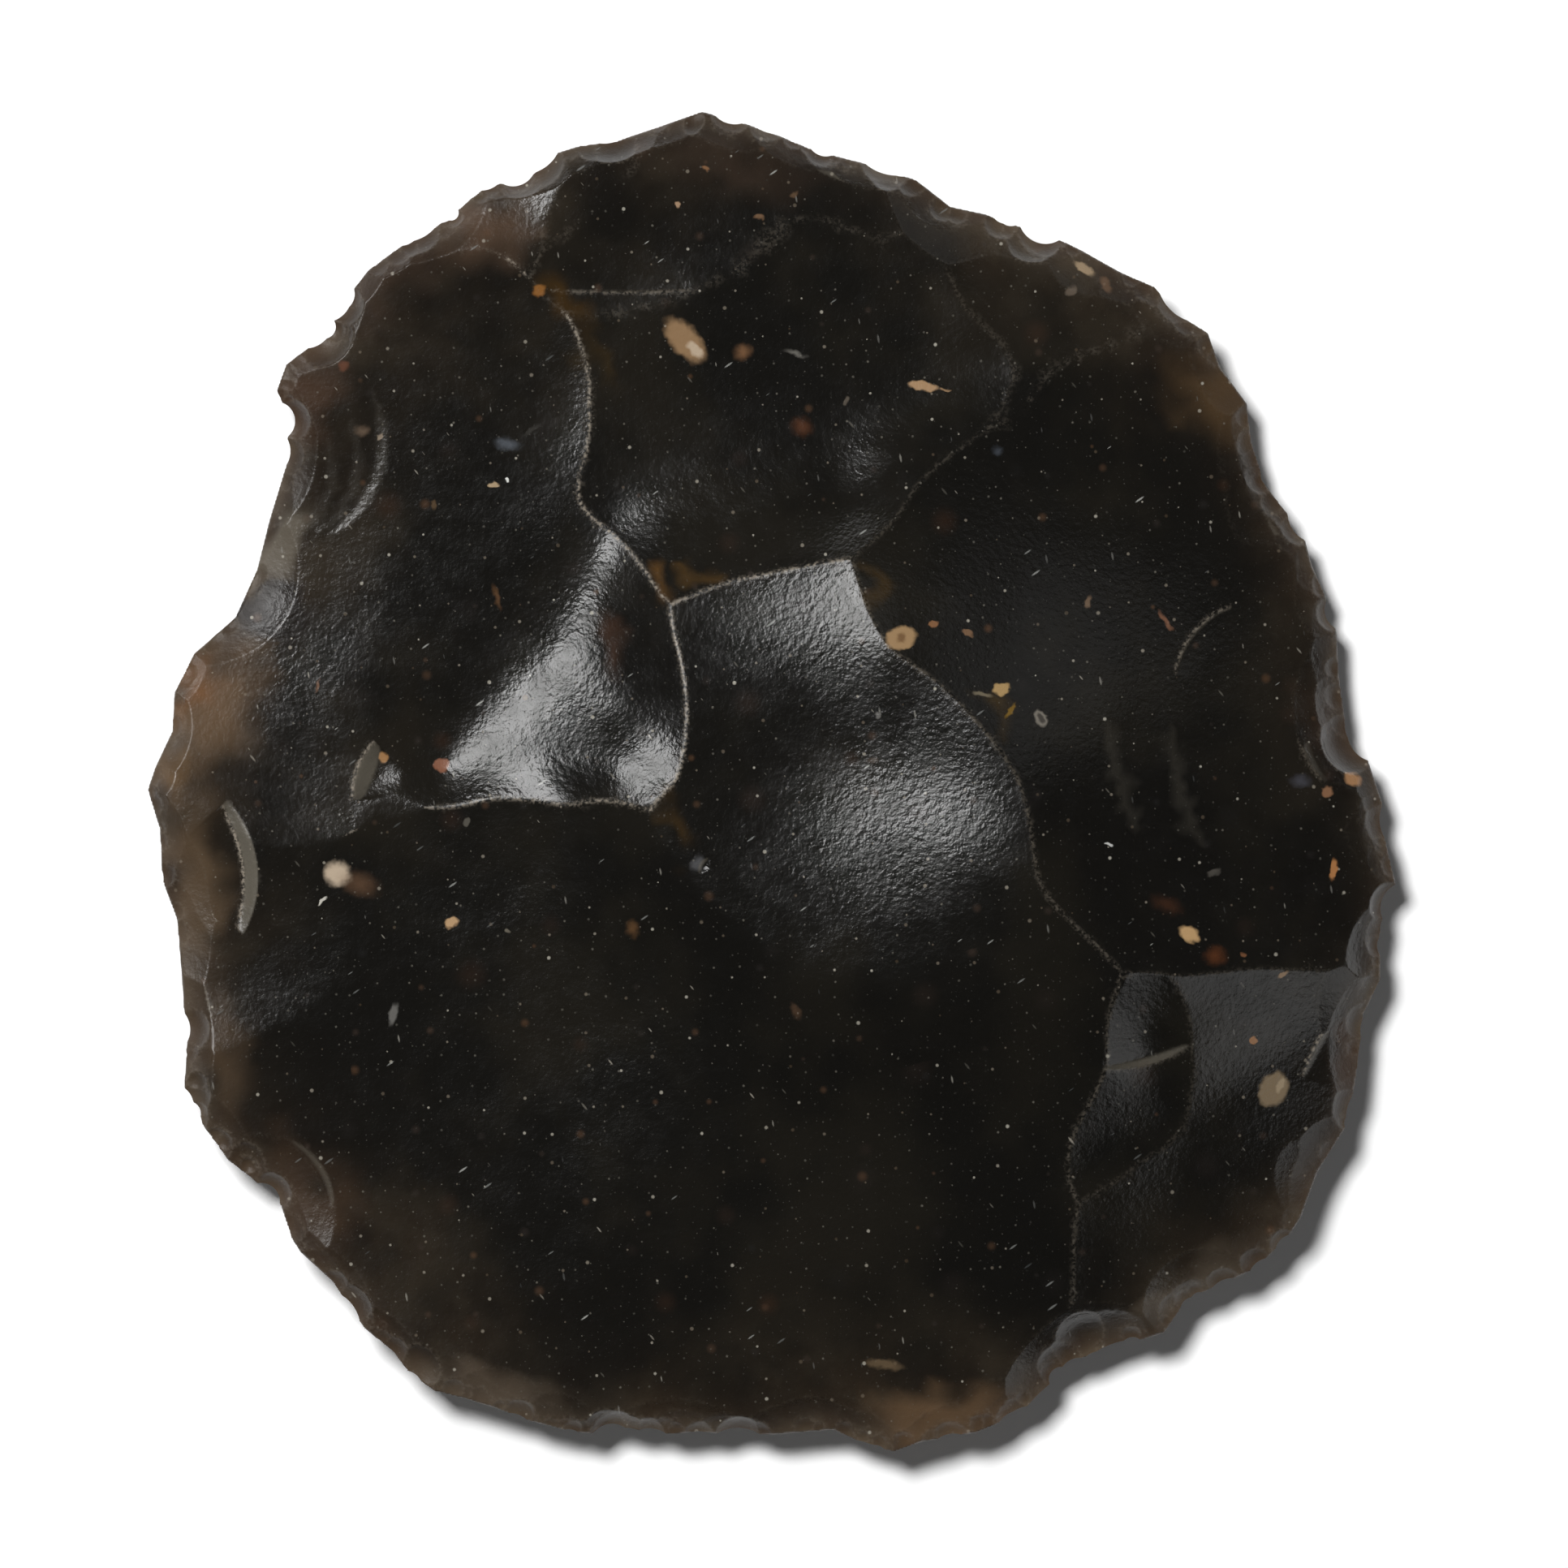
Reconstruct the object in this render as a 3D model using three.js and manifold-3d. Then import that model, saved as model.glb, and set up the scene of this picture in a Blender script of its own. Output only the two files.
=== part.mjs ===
// Flint scraper: one knapped piece of dark flint, worked all round into a disc.
// It lies on its plain lower face, with the worked upper face looking up.
// Millimetres, +Z up, +Y along the longest axis. The origin is on the surface that the
// piece rests on, under the middle of its box.
//
// The shape is made the way the tool was made. A blank with the outline of the disc is
// split from below by the face that struck it off its core, and large flakes are taken off
// above. Then each small scar of the retouched edge is cut between two cusps of the rim.
import * as THREE from "three";
import { mergeVertices } from "three/addons/utils/BufferGeometryUtils.js";
import Module from "manifold-3d";

const wasm = await Module();
wasm.setup();

// Driving dimensions of the blank and its lower face
const BLANK_TOP = 20;
const CUT_MARGIN = 4;
const BELLY_RADIUS = 110;
const REST_DEPTH = 0.45;
const BULB = { x: -2.5, y: 19, height: 0.75, spread: 6.5 };
const BELLY_RIPPLE = { height: 0.05, length: 5.5, start: 11, fade: 10 };
const PERCUSSION_POINT = { x: -2.5, y: 27 };

// Driving dimensions of the edge
const RIM_THICKNESS = 0.75;
const RIM_SHARPNESS = 0.12;
const EDGE_SCAR = { left: 0.4, radiusPerChord: 2.2 };
const RETOUCH = { reach: 0.55, reachPerSpan: 0.25, radius: 2.0, radiusPerSpan: 1.7 };
const LONG_RETOUCH = { every: 4, factor: 1.5 };

// Fineness of the curved faces
const RING_STEP = 1.35;
const SCAR_SPOKES = 56;
const BELLY_SPOKES = 60;
const RETOUCH_FACET = 1.15;
const SHORTEST_EDGE = 0.03;

const FLINT = { color: 0x1b1917, roughness: 0.42, metalness: 0 };

// Cusps of the rim, clockwise from the top; the hollow between two is one retouch scar
const CUSPS = [
  [-2.9, 27.6], [-1.1, 27.1], [0.3, 26.6], [1.5, 26.1], [2.9, 25.7], [4.1, 25.4],
  [5.9, 24.8], [7.3, 23.7], [8.7, 23.4], [10.4, 22.8], [11.1, 22.7], [12.7, 21.9],
  [14.3, 21.0], [15.7, 20.4], [16.8, 19.2], [17.9, 18.5], [18.4, 17.1], [19.5, 15.6],
  [19.7, 14.0], [20.3, 12.2], [21.4, 10.8], [21.9, 10.0], [22.2, 8.9], [22.7, 7.8],
  [23.2, 6.2], [23.3, 4.4], [23.6, 2.3], [24.5, 0.9], [25.1, -0.9], [25.2, -2.3],
  [25.7, -4.5], [25.0, -6.2], [25.0, -8.1], [24.3, -9.5], [24.2, -10.8], [23.8, -13.3],
  [23.6, -14.1], [22.4, -16.0], [21.7, -17.9], [21.1, -18.8], [19.8, -20.0], [17.6, -21.0],
  [16.8, -21.6], [16.1, -22.6], [14.3, -23.2], [12.6, -23.7], [12.1, -24.4], [10.8, -25.7],
  [8.4, -26.7], [6.1, -27.1], [5.0, -27.5], [4.0, -27.3], [2.5, -26.6], [0.0, -26.8],
  [-1.3, -26.8], [-3.2, -26.7], [-5.6, -26.9], [-6.8, -26.8], [-8.2, -26.7], [-10.1, -26.2],
  [-11.4, -25.7], [-12.7, -25.3], [-13.9, -25.0], [-14.9, -24.3], [-15.6, -23.4],
  [-16.8, -22.4], [-17.5, -21.4], [-18.1, -20.5], [-19.4, -19.3], [-19.8, -18.7],
  [-20.2, -17.4], [-21.5, -16.2], [-22.4, -15.5], [-23.7, -13.7], [-24.2, -12.6],
  [-24.1, -11.2], [-24.3, -7.9], [-24.5, -5.6], [-25.1, -4.0], [-25.2, -1.9], [-25.7, -0.3],
  [-25.4, 0.6], [-24.7, 2.1], [-24.6, 3.7], [-23.8, 5.3], [-22.1, 6.8], [-21.2, 8.8],
  [-20.7, 10.8], [-20.0, 13.1], [-19.9, 15.1], [-20.4, 16.1], [-20.0, 17.2], [-18.7, 18.2],
  [-17.7, 19.7], [-16.6, 21.1], [-15.1, 22.2], [-13.8, 22.9], [-12.3, 24.1], [-11.7, 24.6],
  [-10.2, 25.0], [-9.2, 25.8], [-7.9, 26.2], [-6.4, 26.4], [-4.6, 27.0],
];

// Points on the ridges between the large scars: x, y and height over the lowest point
const RIDGES = {
  leftPeak: [-4.2, 7.3, 6.9],
  topMiddle: [-1.6, 8.3, 7.05],
  topPeak: [3.2, 9.15, 7.9],
  waistUpper: [-3.6, 3.8, 7.6],
  waistLower: [-4.0, 0.15, 7.85],
  leftFork: [-5.0, -1.1, 7.9],
  crestUpper: [4.9, 5.5, 8.9],
  crestMiddle: [8.1, 2.8, 9.75],
  crestTop: [10.2, -0.35, 10.3],
  crestLower: [11.0, -4.2, 10.6],
  rightFork: [14.3, -7.85, 9.6],
  rollLeft: [-3.1, -4.2, 8.1],
  rollMiddle: [1.6, -7.85, 8.8],
  rollRight: [9.9, -8.35, 9.9],
  leftArmInner: [-8.4, -0.85, 6.1],
  leftArmMiddle: [-11.7, -0.7, 5.2],
  leftArmOuter: [-15.1, -0.95, 4.65],
  leftEnd: [-17.2, -1.95, 4.45],
  upperLeftOuter: [-7.6, 16.55, 4.35],
  upperLeftMiddle: [-7.8, 13.5, 4.55],
  upperLeftInner: [-6.7, 10.3, 4.95],
  topLeftFork: [-9.9, 20.8, 4.2],
  stepMiddle: [-3.4, 20.1, 4.45],
  stepEnd: [-1.4, 21.15, 4.4],
  topArc: [1.9, 23.2, 4.15],
  topRightRim: [7.1, 23.8, 4.1],
  topLeftRim: [-7.2, 26.15, 4.3],
  topLeftArm: [-8.4, 23.8, 4.3],
  cornerArm: [-11.7, 21.55, 4.25],
  topHollow: [-1.6, 24.4, 3.95],
  rightShoulderRim: [15.1, 18.55, 3.7],
  rightShoulderArm: [11.6, 16.8, 4.7],
  rightShoulder: [9.3, 15.0, 5.2],
  shoulderArm: [5.9, 12.15, 6.6],
  shoulderTop: [7.9, 19.5, 4.5],
  rightArmInner: [16.2, -7.85, 8.7],
  rightArmOuter: [20.3, -7.7, 6.6],
  rightRim: [24.6, -7.7, 4.1],
  lowerArmUpper: [13.7, -11.6, 8.2],
  lowerArmLower: [12.6, -17.2, 6.6],
  lowerRim: [12.1, -23.35, 4.4],
  lowerInnerUpper: [17.2, -11.0, 7.2],
  lowerInnerLower: [16.8, -14.2, 6.15],
  leftWingUpper: [-16.6, 2.8, 4.1],
  leftWingLower: [-17.4, -7.2, 4.35],
  leftHollow: [-21.2, -1.5, 4.25],
};

// Large scars of the upper face: the ridge points that each one passes through, more points
// on its floor, the directions in degrees where it runs out at the rim, the radius of its
// bowl, and the point on the rim where it was struck, which its ripples run round
const SCARS = {
  left: {
    ridge: ["topLeftFork", "upperLeftOuter", "upperLeftMiddle", "upperLeftInner", "leftPeak",
      "waistUpper", "waistLower", "leftFork", "leftArmInner", "leftArmMiddle", "leftArmOuter",
      "leftEnd", "leftWingUpper"],
    floor: [
      [-13.5, 0.5, 4.45], [-11.0, 1.5, 4.95], [-8.3, 1.0, 5.7], [-6.3, 0.8, 6.75],
      [-8.2, 3.0, 5.4], [-6.2, 3.0, 6.65], [-11.7, 3.5, 4.6], [-6.5, 5.5, 5.65],
      [-8.8, 5.5, 4.75], [-13.0, 5.0, 4.4], [-10.0, 7.5, 4.45], [-7.6, 8.0, 4.7],
      [-8.6, 10.4, 4.55], [-12.0, 10.0, 4.2], [-9.0, 14.0, 4.3], [-12.0, 15.0, 4.1],
      [-16.0, 10.0, 3.75],
    ],
    rim: [135, 145, 155, 163], bowl: 45, struck: [-23, 9], ripple: 0.006,
  },
  top: {
    ridge: ["topLeftFork", "upperLeftOuter", "upperLeftMiddle", "upperLeftInner", "leftPeak",
      "topMiddle", "topPeak", "shoulderArm", "rightShoulder", "shoulderTop", "topRightRim",
      "topArc", "stepEnd", "stepMiddle"],
    floor: [
      [-4.6, 10.0, 5.5], [-2.0, 10.5, 5.65], [3.5, 11.5, 5.95], [-2.5, 12.5, 4.95],
      [1.5, 14.5, 4.75], [5.5, 15.5, 4.8], [-4.0, 16.5, 4.4], [3.5, 19.0, 4.4],
    ],
    rim: [], bowl: 60, struck: [3, 28], ripple: 0.006,
  },
  centre: {
    ridge: ["leftPeak", "topMiddle", "topPeak", "crestUpper", "crestMiddle", "crestTop",
      "crestLower", "rightFork", "rollRight", "rollMiddle", "rollLeft", "leftFork",
      "waistLower", "waistUpper"],
    floor: [
      [1.5, 6.5, 7.85], [0.0, 3.0, 7.95], [3.0, 4.5, 8.4], [6.5, 3.5, 9.3], [0.0, 0.5, 7.95],
      [3.0, 1.0, 8.45], [7.0, 0.8, 9.35], [0.0, -3.0, 8.3], [3.0, -3.0, 8.8],
      [7.0, -3.0, 9.7],
    ],
    rim: [], bowl: 60, struck: [-6, -28], ripple: 0.006,
  },
  bottom: {
    ridge: ["leftFork", "rollLeft", "rollMiddle", "rollRight", "rightFork", "lowerArmUpper",
      "lowerArmLower", "lowerRim", "leftEnd", "leftArmInner", "leftArmMiddle",
      "leftArmOuter", "leftWingLower"],
    floor: [
      [-12.0, -8.0, 4.7], [-12.0, -16.0, 4.4], [-5.0, -8.0, 6.1], [-5.0, -16.0, 5.4],
      [3.0, -14.0, 6.5], [3.0, -20.0, 5.4],
    ],
    rim: [215, 235, 255, 275, 289], bowl: 90, struck: [-3, -30], ripple: 0.01,
  },
  right: {
    ridge: ["topPeak", "shoulderArm", "rightShoulder", "rightShoulderArm", "rightShoulderRim",
      "crestUpper", "crestMiddle", "crestTop", "crestLower", "rightFork", "rightArmInner",
      "rightArmOuter", "rightRim"],
    floor: [[15.0, 10.0, 4.9]],
    rim: [0, 15, 30, 44], bowl: 60, struck: [28, 4], ripple: 0.02,
  },
  lowerRight: {
    ridge: ["rightArmInner", "rightArmOuter", "rightRim", "lowerInnerUpper",
      "lowerInnerLower", "lowerArmLower", "lowerRim"],
    floor: [],
    rim: [310, 325], bowl: 40, struck: [25, -19], ripple: 0.02,
  },
  lowerInner: {
    ridge: ["rightFork", "rightArmInner", "lowerInnerUpper", "lowerInnerLower",
      "lowerArmLower", "lowerArmUpper"],
    floor: [
      [15.2, -10.5, 7.8], [14.9, -13.5, 6.85], [20.0, -11.0, 7.2], [19.5, -16.0, 6.6],
      [15.0, -19.5, 6.6],
    ],
    rim: [], bowl: 40, struck: [25, -19], ripple: 0.01,
  },
  topEnd: {
    ridge: ["topLeftRim", "topLeftArm", "topLeftFork", "stepMiddle", "stepEnd", "topArc",
      "topRightRim", "topHollow"],
    floor: [],
    rim: [85, 95], bowl: 16, struck: [-2, 30], ripple: 0.01,
  },
  topLeft: {
    ridge: ["topLeftRim", "topLeftArm", "topLeftFork", "cornerArm"],
    floor: [],
    rim: [113, 121], bowl: 20, struck: [-14, 27], ripple: 0.01,
  },
  topRight: {
    ridge: ["topRightRim", "shoulderTop", "rightShoulder", "rightShoulderArm",
      "rightShoulderRim"],
    floor: [[11.5, 20.0, 4.0]],
    rim: [52, 60, 68], bowl: 30, struck: [13, 24], ripple: 0.02,
  },
  farLeft: {
    ridge: ["leftWingUpper", "leftEnd", "leftWingLower", "leftHollow"],
    floor: [],
    rim: [170, 180, 190, 200], bowl: 30, struck: [-28, -1], ripple: 0.01,
  },
};
const RIPPLE_LENGTH = 3.6;
const SCAR_REACH = 62;

// Larger scars of the edge, clockwise from the top: the two directions in degrees between
// which each one lies, and how far it runs in
const EDGE_SCARS = [
  [96, 92, 0.9], [91, 86, 0.9], [73, 63, 1.5], [63, 54, 1.6], [53, 46, 1.4], [37, 25, 2.2],
  [23, 15, 1.2], [9, 0, 1.9], [357, 350, 1.2], [349, 343, 1.1], [341, 333, 1.4],
  [325, 319, 1.4], [316, 310, 1.3], [309, 304, 1.2], [298, 292, 1.2], [292, 286, 1.7],
  [280, 276, 1.1], [265, 256, 1.4], [254, 248, 1.3], [249, 243, 1.7], [243, 238, 1.3],
  [232, 226, 1.2], [224, 216, 2.4], [210, 204, 0.9], [204, 199, 0.9], [196, 187, 1.6],
];

// Height of the lower face, which bulges downwards at the bulb of percussion
function bellyHeight(x, y) {
  const dome = (x * x + y * y) / (2 * BELLY_RADIUS);
  const bulbDistance = Math.hypot(x - BULB.x, y - BULB.y) / BULB.spread;
  const bulb = BULB.height * Math.exp(-0.5 * bulbDistance * bulbDistance);
  const run = Math.hypot(x - PERCUSSION_POINT.x, y - PERCUSSION_POINT.y);
  const strength = Math.exp(-(((run - BELLY_RIPPLE.start) / BELLY_RIPPLE.fade) ** 2));
  const wave = Math.cos((2 * Math.PI * run) / BELLY_RIPPLE.length);
  return dome - bulb + BELLY_RIPPLE.height * strength * wave;
}

// Point where a ray from the middle, at an angle in degrees, leaves the outline
function rimPoint(degrees) {
  const angle = THREE.MathUtils.degToRad(degrees);
  const ray = new THREE.Vector2(Math.cos(angle), Math.sin(angle));
  let farthest = 0;
  CUSPS.forEach((start, i) => {
    const end = CUSPS[(i + 1) % CUSPS.length];
    const side = [end[0] - start[0], end[1] - start[1]];
    const cross = ray.x * side[1] - ray.y * side[0];
    const along = (start[0] * side[1] - start[1] * side[0]) / cross;
    const share = (start[0] * ray.y - start[1] * ray.x) / cross;
    if (along > 0 && share >= 0 && share <= 1) farthest = Math.max(farthest, along);
  });
  return [ray.x * farthest, ray.y * farthest];
}

// Solves a square linear system by elimination with row exchange
function solve(matrix, values) {
  const rows = matrix.map((row, i) => [...row, values[i]]);
  const size = rows.length;
  for (let column = 0; column < size; column += 1) {
    let pivot = column;
    for (let row = column + 1; row < size; row += 1) {
      if (Math.abs(rows[row][column]) > Math.abs(rows[pivot][column])) pivot = row;
    }
    [rows[column], rows[pivot]] = [rows[pivot], rows[column]];
    for (let row = 0; row < size; row += 1) {
      if (row === column) continue;
      const share = rows[row][column] / rows[column][column];
      for (let k = column; k <= size; k += 1) rows[row][k] -= share * rows[column][k];
    }
  }
  return rows.map((row, i) => row[size] / row[i]);
}

// Bending of a thin plate at a squared distance from a point that holds it
function plateBending(squared) {
  return squared > 0 ? 0.5 * squared * Math.log(squared) : 0;
}

// Height function of a bowl of a given radius, bent as a thin plate so that it passes
// through every one of the points
function bentBowl(points, radius) {
  const rows = points.map(([x, y]) => [
    ...points.map(([px, py]) => plateBending((x - px) ** 2 + (y - py) ** 2)), 1, x, y,
  ]);
  const tails = [
    [...points.map(() => 1), 0, 0, 0],
    [...points.map((point) => point[0]), 0, 0, 0],
    [...points.map((point) => point[1]), 0, 0, 0],
  ];
  const rises = points.map(([x, y, z]) => z - (x * x + y * y) / (2 * radius));
  const weights = solve([...rows, ...tails], [...rises, 0, 0, 0]);
  const [level, slopeX, slopeY] = weights.slice(points.length);
  return (x, y) => {
    const plate = points.reduce(
      (sum, [px, py], i) => sum + weights[i] * plateBending((x - px) ** 2 + (y - py) ** 2),
      level + slopeX * x + slopeY * y,
    );
    return plate + (x * x + y * y) / (2 * radius);
  };
}

// Height function of one large scar, with its ripples round the struck point
function scarHeight({ ridge, floor, rim, bowl, struck, ripple }) {
  const rimPoints = rim.map((degrees) => {
    const [x, y] = rimPoint(degrees);
    return [x, y, bellyHeight(x, y) + RIM_THICKNESS];
  });
  const ridgePoints = ridge.map((name) => RIDGES[name]);
  const bent = bentBowl([...ridgePoints, ...floor, ...rimPoints], bowl);
  return (x, y) => {
    const run = Math.hypot(x - struck[0], y - struck[1]);
    return bent(x, y) + ripple * Math.cos((2 * Math.PI * run) / RIPPLE_LENGTH);
  };
}

// Closed solid from any closed geometry, turned so that its faces point out
function toSolid(geometry) {
  const bare = new THREE.BufferGeometry();
  bare.setAttribute("position", geometry.getAttribute("position"));
  bare.setIndex(geometry.getIndex());
  const merged = mergeVertices(bare, 1e-4);
  const index = [];
  const corners = merged.getIndex().array;
  for (let i = 0; i < corners.length; i += 3) {
    const [a, b, c] = [corners[i], corners[i + 1], corners[i + 2]];
    if (a !== b && b !== c && c !== a) index.push(a, b, c);
  }
  const position = merged.getAttribute("position");
  const points = [0, 1, 2].map(() => new THREE.Vector3());
  let volume = 0;
  for (let i = 0; i < index.length; i += 3) {
    points.forEach((point, k) => point.fromBufferAttribute(position, index[i + k]));
    volume += points[0].dot(points[1].cross(points[2]));
  }
  if (volume < 0) index.reverse();
  return new wasm.Manifold(new wasm.Mesh({
    numProp: 3,
    vertProperties: new Float32Array(position.array),
    triVerts: new Uint32Array(index),
  }));
}

// Round block about a centre, with one end shaped by a height function and one end flat
function shapedBlock(centre, reach, spokes, height, flatEnd) {
  const rings = Math.ceil(reach / RING_STEP);
  const profile = [];
  for (let i = 0; i <= rings; i += 1) {
    profile.push(new THREE.Vector2((reach * i) / rings, 0));
  }
  profile.push(new THREE.Vector2(reach, 1), new THREE.Vector2(0, 1));
  const block = new THREE.LatheGeometry(profile, spokes).rotateX(Math.PI / 2);
  const position = block.getAttribute("position");
  for (let i = 0; i < position.count; i += 1) {
    const x = position.getX(i) + centre[0];
    const y = position.getY(i) + centre[1];
    const shaped = flatEnd > 0 ? Math.min(height(x, y), BLANK_TOP) : height(x, y);
    const z = position.getZ(i) > 0.5 ? flatEnd : shaped;
    position.setXYZ(i, x, y, z);
  }
  return toSolid(block);
}

// Prism with the outline of the disc
function blankPrism() {
  const outline = new THREE.Shape(CUSPS.map(([x, y]) => new THREE.Vector2(x, y)));
  const depth = BLANK_TOP + CUT_MARGIN;
  const prism = new THREE.ExtrudeGeometry(outline, { depth, bevelEnabled: false });
  return toSolid(prism.translate(0, 0, -CUT_MARGIN));
}

// Sphere of a given radius whose underside passes through three points
function scarSphere(corners, radius) {
  const [a, b, c] = corners.map((corner) => new THREE.Vector3(...corner));
  const toB = b.clone().sub(a);
  const toC = c.clone().sub(a);
  const normal = toB.clone().cross(toC);
  if (normal.z < 0) normal.negate();
  const area = normal.lengthSq();
  const middle = normal.clone().cross(toB).multiplyScalar(toC.lengthSq())
    .add(toC.clone().cross(normal).multiplyScalar(toB.lengthSq()))
    .multiplyScalar(1 / (2 * area));
  if (middle.dot(toB) < 0) middle.negate();
  const reach = Math.max(radius, middle.length() * 1.02);
  const lift = Math.sqrt(reach * reach - middle.lengthSq());
  const centre = a.add(middle).addScaledVector(normal.normalize(), lift);
  const segments = Math.round((2 * Math.PI * reach) / RETOUCH_FACET);
  const sphere = new THREE.SphereGeometry(reach, segments, Math.round(segments / 2));
  return toSolid(sphere.rotateX(Math.PI / 2).translate(centre.x, centre.y, centre.z));
}

// Cuts one small scar into the edge: it leaves a given thickness at its two ends on the rim,
// and runs out at a given reach on the upper face
function cutEdge(stone, topHeight, start, end, reach, left, radius) {
  const chord = Math.hypot(end[0] - start[0], end[1] - start[1]);
  const inward = [(end[1] - start[1]) / chord, (start[0] - end[0]) / chord];
  const x = (start[0] + end[0]) / 2 + inward[0] * reach;
  const y = (start[1] + end[1]) / 2 + inward[1] * reach;
  const ends = [start, end].map(([u, v]) => [u, v, bellyHeight(u, v) + left]);
  return stone.subtract(scarSphere([...ends, [x, y, topHeight(x, y)]], radius));
}

// Takes the larger scars off the edge
function cutEdgeScars(stone, topHeight) {
  return EDGE_SCARS.reduce((cut, [first, last, reach]) => {
    const [start, end] = [rimPoint(first), rimPoint(last)];
    const radius = Math.hypot(end[0] - start[0], end[1] - start[1]) * EDGE_SCAR.radiusPerChord;
    return cutEdge(cut, topHeight, start, end, reach, EDGE_SCAR.left, radius);
  }, stone);
}

// Cuts one scar into the edge between each cusp and the next
function cutRetouch(stone, topHeight) {
  return CUSPS.reduce((cut, start, i) => {
    const end = CUSPS[(i + 1) % CUSPS.length];
    const span = Math.hypot(end[0] - start[0], end[1] - start[1]);
    const long = i % LONG_RETOUCH.every === 0 ? LONG_RETOUCH.factor : 1;
    const reach = (RETOUCH.reach + RETOUCH.reachPerSpan * span) * long;
    const radius = (RETOUCH.radius + RETOUCH.radiusPerSpan * span) * long;
    return cutEdge(cut, topHeight, start, end, reach, RIM_SHARPNESS, radius);
  }, stone);
}

// Faces left when every edge shorter than a limit is drawn together to one point, wherever
// that keeps the surface closed
function closeShortEdges(points, faces, shortest) {
  const around = points.map(() => new Set());
  faces.forEach((face, i) => face.forEach((corner) => around[corner].add(i)));
  const neighbours = (corner) => new Set([...around[corner]].flatMap((i) => faces[i]));
  const isShort = (a, b) => points[a].distanceTo(points[b]) < shortest;
  points.forEach((_, a) => {
    let b = [...neighbours(a)].find((corner) => corner !== a && isShort(a, corner));
    while (b !== undefined) {
      const ring = neighbours(a);
      const shared = [...neighbours(b)].filter((corner) => ring.has(corner));
      if (shared.length !== 4) break;
      [...around[b]].forEach((i) => {
        if (faces[i].includes(a)) {
          faces[i].forEach((corner) => around[corner].delete(i));
          faces[i] = [];
        } else {
          faces[i] = faces[i].map((corner) => (corner === b ? a : corner));
          around[a].add(i);
        }
      });
      around[b].clear();
      b = [...neighbours(a)].find((corner) => corner !== a && isShort(a, corner));
    }
  });
  return faces.filter((face) => face.length === 3);
}

// Three.js geometry of a finished solid
function toGeometry(solid) {
  const { vertProperties, triVerts } = solid.getMesh();
  const points = [];
  for (let i = 0; i < vertProperties.length; i += 3) {
    points.push(new THREE.Vector3().fromArray(vertProperties, i));
  }
  const faces = [];
  for (let i = 0; i < triVerts.length; i += 3) faces.push([...triVerts.slice(i, i + 3)]);
  const geometry = new THREE.BufferGeometry().setFromPoints(points);
  geometry.setIndex(closeShortEdges(points, faces, SHORTEST_EDGE).flat());
  const merged = mergeVertices(geometry, 1e-5);
  merged.computeVertexNormals();
  return merged;
}

// The whole stone, from blank to finished edge
function knapStone() {
  const heights = Object.values(SCARS).map(scarHeight);
  const topHeight = (x, y) => Math.min(...heights.map((height) => height(x, y)));
  const percussion = [PERCUSSION_POINT.x, PERCUSSION_POINT.y];
  const below = shapedBlock(percussion, SCAR_REACH, BELLY_SPOKES, bellyHeight, -2 * CUT_MARGIN);
  let stone = blankPrism().subtract(below);
  Object.values(SCARS).forEach(({ struck }, i) => {
    const bite = shapedBlock(struck, SCAR_REACH, SCAR_SPOKES, heights[i], BLANK_TOP + CUT_MARGIN);
    stone = stone.subtract(bite);
  });
  stone = cutRetouch(cutEdgeScars(stone, topHeight), topHeight);
  const slab = new THREE.BoxGeometry(SCAR_REACH, SCAR_REACH, 2 * CUT_MARGIN);
  return stone.subtract(toSolid(slab.translate(0, 0, REST_DEPTH - CUT_MARGIN)));
}

// Sets the origin under the middle of the box, on the surface that the stone rests on
function settle(geometry) {
  geometry.computeBoundingBox();
  const { min, max } = geometry.boundingBox;
  return geometry.translate(-(min.x + max.x) / 2, -(min.y + max.y) / 2, -min.z);
}

const scraper = new THREE.Group();
scraper.name = "flint_scraper";
const stone = new THREE.Mesh(settle(toGeometry(knapStone())), new THREE.MeshStandardMaterial(FLINT));
stone.name = "knapped_flint";
scraper.add(stone);

export default scraper;
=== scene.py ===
"""Flint scraper: one piece of dark, waxy flint, knapped all round into a disc.

The stone is worked out the way it was knapped. A plain struck face lies below, large
rippled flake scars meet in ridges above, and rows of small scars run round the edge. All
lengths are in millimetres until the mesh is made, with +Z up and +Y along the longest axis.
"""
import logging
import math
from dataclasses import dataclass, field
from enum import Enum
from typing import Any

import bpy
import numpy as np
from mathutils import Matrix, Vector


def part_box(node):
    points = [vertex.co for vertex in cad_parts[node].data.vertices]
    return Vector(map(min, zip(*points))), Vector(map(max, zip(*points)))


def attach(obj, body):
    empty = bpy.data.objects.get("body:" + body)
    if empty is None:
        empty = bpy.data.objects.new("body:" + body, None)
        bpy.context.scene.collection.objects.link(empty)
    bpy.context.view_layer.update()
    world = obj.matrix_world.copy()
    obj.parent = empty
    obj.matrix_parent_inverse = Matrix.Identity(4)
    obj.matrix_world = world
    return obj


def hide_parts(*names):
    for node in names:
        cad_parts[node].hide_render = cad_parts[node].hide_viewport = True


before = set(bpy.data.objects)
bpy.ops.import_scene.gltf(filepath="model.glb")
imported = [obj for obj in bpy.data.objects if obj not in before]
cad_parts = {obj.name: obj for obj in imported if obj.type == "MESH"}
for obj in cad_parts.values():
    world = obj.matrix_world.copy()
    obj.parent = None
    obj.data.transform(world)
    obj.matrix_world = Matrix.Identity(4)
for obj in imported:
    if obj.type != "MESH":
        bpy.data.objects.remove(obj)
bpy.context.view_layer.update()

LOG = logging.getLogger("flint_scraper")
STONE_NODE = "knapped_flint"
METRE = 1000.0

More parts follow.
